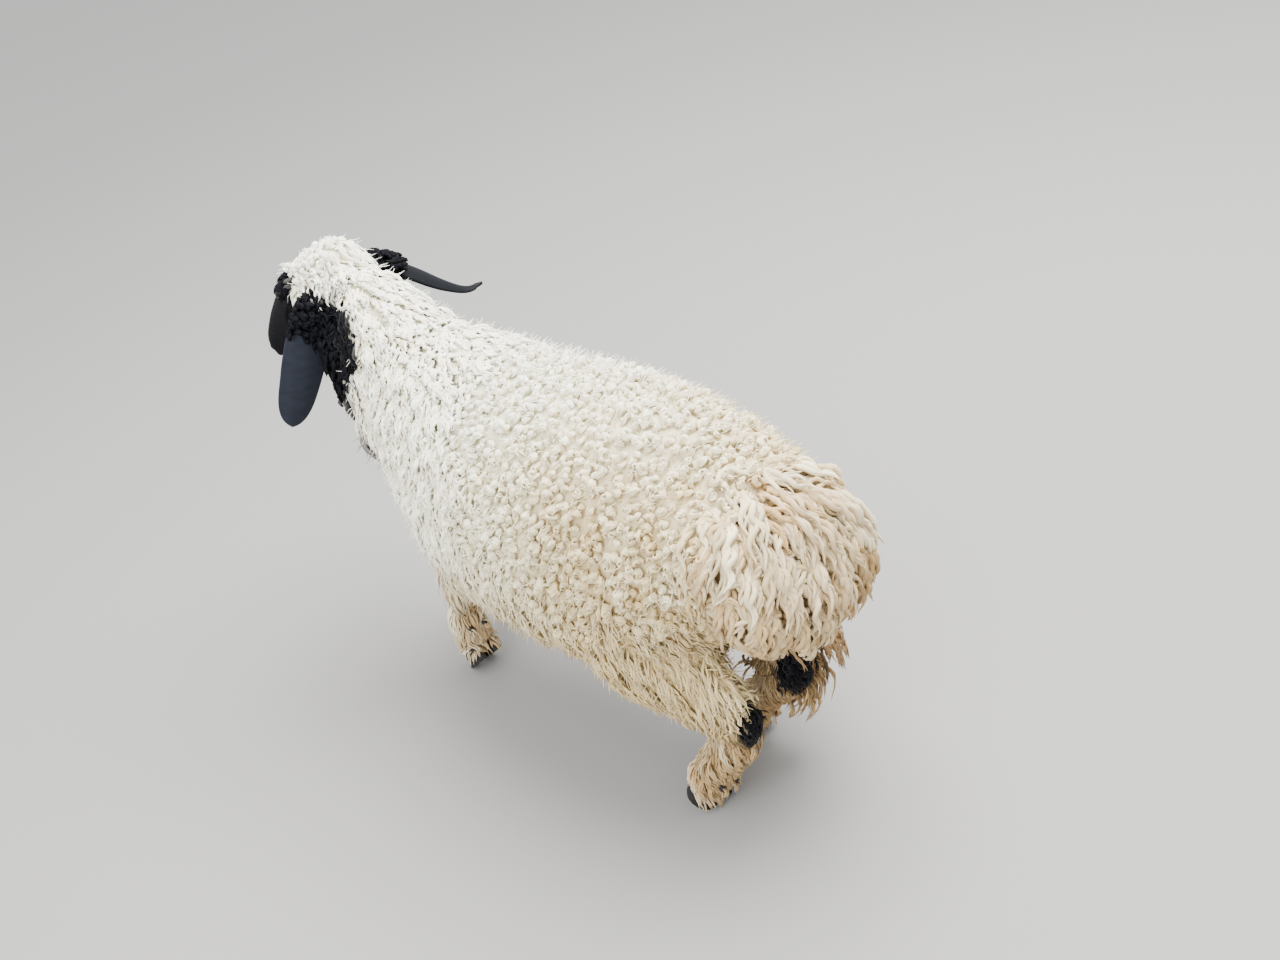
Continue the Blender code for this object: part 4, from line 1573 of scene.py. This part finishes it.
def add_camera(scene):
    """A camera that looks down on the sheep from behind its left side."""
    sizes = scene.sheep_sizes
    camera = bpy.data.cameras.new("camera")
    camera.sensor_width = 36.0
    camera.lens = 50.0
    obj = bpy.data.objects.new("camera", camera)
    obj.location = sizes.camera_place
    obj.rotation_euler = (
        Matrix.Rotation(sizes.camera_heading, 3, "Z")
        @ Matrix.Rotation(math.pi / 2 - sizes.camera_dip, 3, "X")
        @ Matrix.Rotation(sizes.camera_roll, 3, "Z")
    ).to_euler()
    scene.collection.objects.link(obj)
    scene.camera = obj


class SHEEP_OT_stage(bpy.types.Operator):
    """Pale floor, soft light and the camera"""

    bl_idname = "sheep.stage"
    bl_label = "Stage"

    def execute(self, context):
        add_floor(context.scene)
        add_light(context.scene)
        add_camera(context.scene)
        return {"FINISHED"}


# Properties, panel and registration.


def length_property(name, description, default, least):
    """A property that holds a length."""
    return bpy.props.FloatProperty(
        name=name, description=description, default=default, min=least, unit="LENGTH"
    )


def angle_property(name, description, degrees):
    """A property that holds an angle."""
    return bpy.props.FloatProperty(
        name=name, description=description, default=math.radians(degrees), unit="ROTATION"
    )


def colour_property(name, description, default):
    """A property that holds a colour."""
    return bpy.props.FloatVectorProperty(
        name=name, description=description, default=default, min=0.0, max=1.0, subtype="COLOR"
    )


class SheepSizes(bpy.types.PropertyGroup):
    """Sizes that shape the coat and the view."""

    skin_grid: length_property("Skin grid", "Spacing of the skin's mesh", 0.0068, 0.004)
    clump_gap: length_property("Clump gap", "Spacing of the clumps of locks", 0.030, 0.010)
    curl_gap: length_property("Curl gap", "Least spacing of the curls on the back", 0.0104, 0.004)
    wave_gap: length_property("Wave gap", "Least spacing of the locks on the neck", 0.0068, 0.004)
    staple_gap: length_property("Staple gap", "Least spacing of the locks on the flanks", 0.0079, 0.004)
    tail_gap: length_property("Tail lock gap", "Least spacing of the locks on the tail", 0.0092, 0.004)
    piece_triangles: bpy.props.IntProperty(
        name="Piece triangles", description="Most triangles in one piece of the coat", default=190000,
        min=1000,
    )
    camera_place: bpy.props.FloatVectorProperty(
        name="Camera place", description="Where the camera stands", default=(1.2596, 2.1681, 1.79),
        unit="LENGTH",
    )
    camera_heading: angle_property("Camera heading", "Turn of the camera about the vertical", 146.6)
    camera_dip: angle_property("Camera dip", "How far the camera looks down", 29.78)
    camera_roll: angle_property("Camera roll", "Tilt of the camera about its own line of sight", -16.45)


class SheepColours(bpy.types.PropertyGroup):
    """Colours of wool, hair, ears, eyes, horn and floor."""

    white: colour_property("White", "Wool of the back, neck and poll", (0.95, 0.94, 0.81))
    cream: colour_property("Cream", "Wool of the sides", (0.89, 0.835, 0.60))
    # Peach also paints shade low on the sides and in the valleys at the clumps' edges.
    peach: colour_property("Peach", "Wool of flanks and rump, and the warm tips in it", (0.66, 0.515, 0.265))
    # Tan is painted shade under the belly and, with brown, on the right thigh; on the tail it tints the lower
    # and right side.
    tan: colour_property("Tan", "Lower legs, and the soiled wool of belly and tail", (0.43, 0.28, 0.125))
    # Brown is painted shade on the right thigh and between the thighs.
    brown: colour_property("Brown", "Soiled wool between the thighs", (0.16, 0.075, 0.026))
    # Grey streaks the front of the neck.
    grey: colour_property("Grey", "Dark locks down the throat", (0.06, 0.055, 0.06))
    black: colour_property("Black", "Face, cheeks and hocks", (0.0025, 0.0025, 0.004))
    # Painted sheen: the left ear's slate blue stands for light on black hair.
    ear_left: colour_property("Left ear", "Back of the left ear", (0.020, 0.024, 0.036))
    # Painted shade: the right ear is darker than the left for the light that falls on it.
    ear_right: colour_property("Right ear", "Back of the right ear", (0.003, 0.004, 0.006))
    ear_inside: colour_property("Inside of the ears", "Cup of both ears", (0.009, 0.008, 0.009))
    eyeball: colour_property("Eyeball", "Eyeball round the iris", (0.006, 0.005, 0.005))
    iris: colour_property("Iris", "Iris near the pupil", (0.018, 0.009, 0.004))
    iris_rim: colour_property("Rim of the iris", "Iris at its rim", (0.007, 0.004, 0.003))
    pupil: colour_property("Pupil", "Slit of the pupil", (0.003, 0.003, 0.004))
    horn: colour_property("Horn", "Claws and dewclaws", (0.009, 0.008, 0.008))
    floor: colour_property("Floor", "Floor of the stage", (0.26, 0.255, 0.245))


class SHEEP_PT_panel(bpy.types.Panel):
    """Lists the sheep's sizes and colours and the steps that build it"""

    bl_label = "Shorn sheep"
    bl_idname = "SHEEP_PT_panel"
    bl_space_type = "VIEW_3D"
    bl_region_type = "UI"
    bl_category = "Sheep"

    def draw(self, context):
        for values in (context.scene.sheep_sizes, context.scene.sheep_colours):
            for name in type(values).__annotations__:
                self.layout.prop(values, name)
        for operator in OPERATORS:
            self.layout.operator(operator.bl_idname)


OPERATORS = (
    SHEEP_OT_skin, SHEEP_OT_ears, SHEEP_OT_fleece, SHEEP_OT_topknot, SHEEP_OT_staples, SHEEP_OT_cheeks,
    SHEEP_OT_tail, SHEEP_OT_skirt, SHEEP_OT_beard, SHEEP_OT_leg_hair, SHEEP_OT_face_hair, SHEEP_OT_wisps,
    SHEEP_OT_eyes, SHEEP_OT_hooves, SHEEP_OT_stage,
)
CLASSES = (SheepSizes, SheepColours, *OPERATORS, SHEEP_PT_panel)


def register():
    """Adds the classes and the sheep's properties."""
    for cls in CLASSES:
        bpy.utils.register_class(cls)
    bpy.types.Scene.sheep_sizes = bpy.props.PointerProperty(type=SheepSizes)
    bpy.types.Scene.sheep_colours = bpy.props.PointerProperty(type=SheepColours)


def unregister():
    """Takes the properties and the classes away again."""
    del bpy.types.Scene.sheep_colours
    del bpy.types.Scene.sheep_sizes
    for cls in reversed(CLASSES):
        bpy.utils.unregister_class(cls)


def main():
    """Builds the dressed sheep on its stage."""
    register()
    bpy.ops.sheep.skin()
    bpy.ops.sheep.ears()
    bpy.ops.sheep.fleece()
    bpy.ops.sheep.topknot()
    bpy.ops.sheep.staples()
    bpy.ops.sheep.cheeks()
    bpy.ops.sheep.tail()
    bpy.ops.sheep.skirt()
    bpy.ops.sheep.beard()
    bpy.ops.sheep.leg_hair()
    bpy.ops.sheep.face_hair()
    bpy.ops.sheep.wisps()
    bpy.ops.sheep.eyes()
    bpy.ops.sheep.hooves()
    bpy.ops.sheep.stage()


if __name__ == "__main__":
    main()
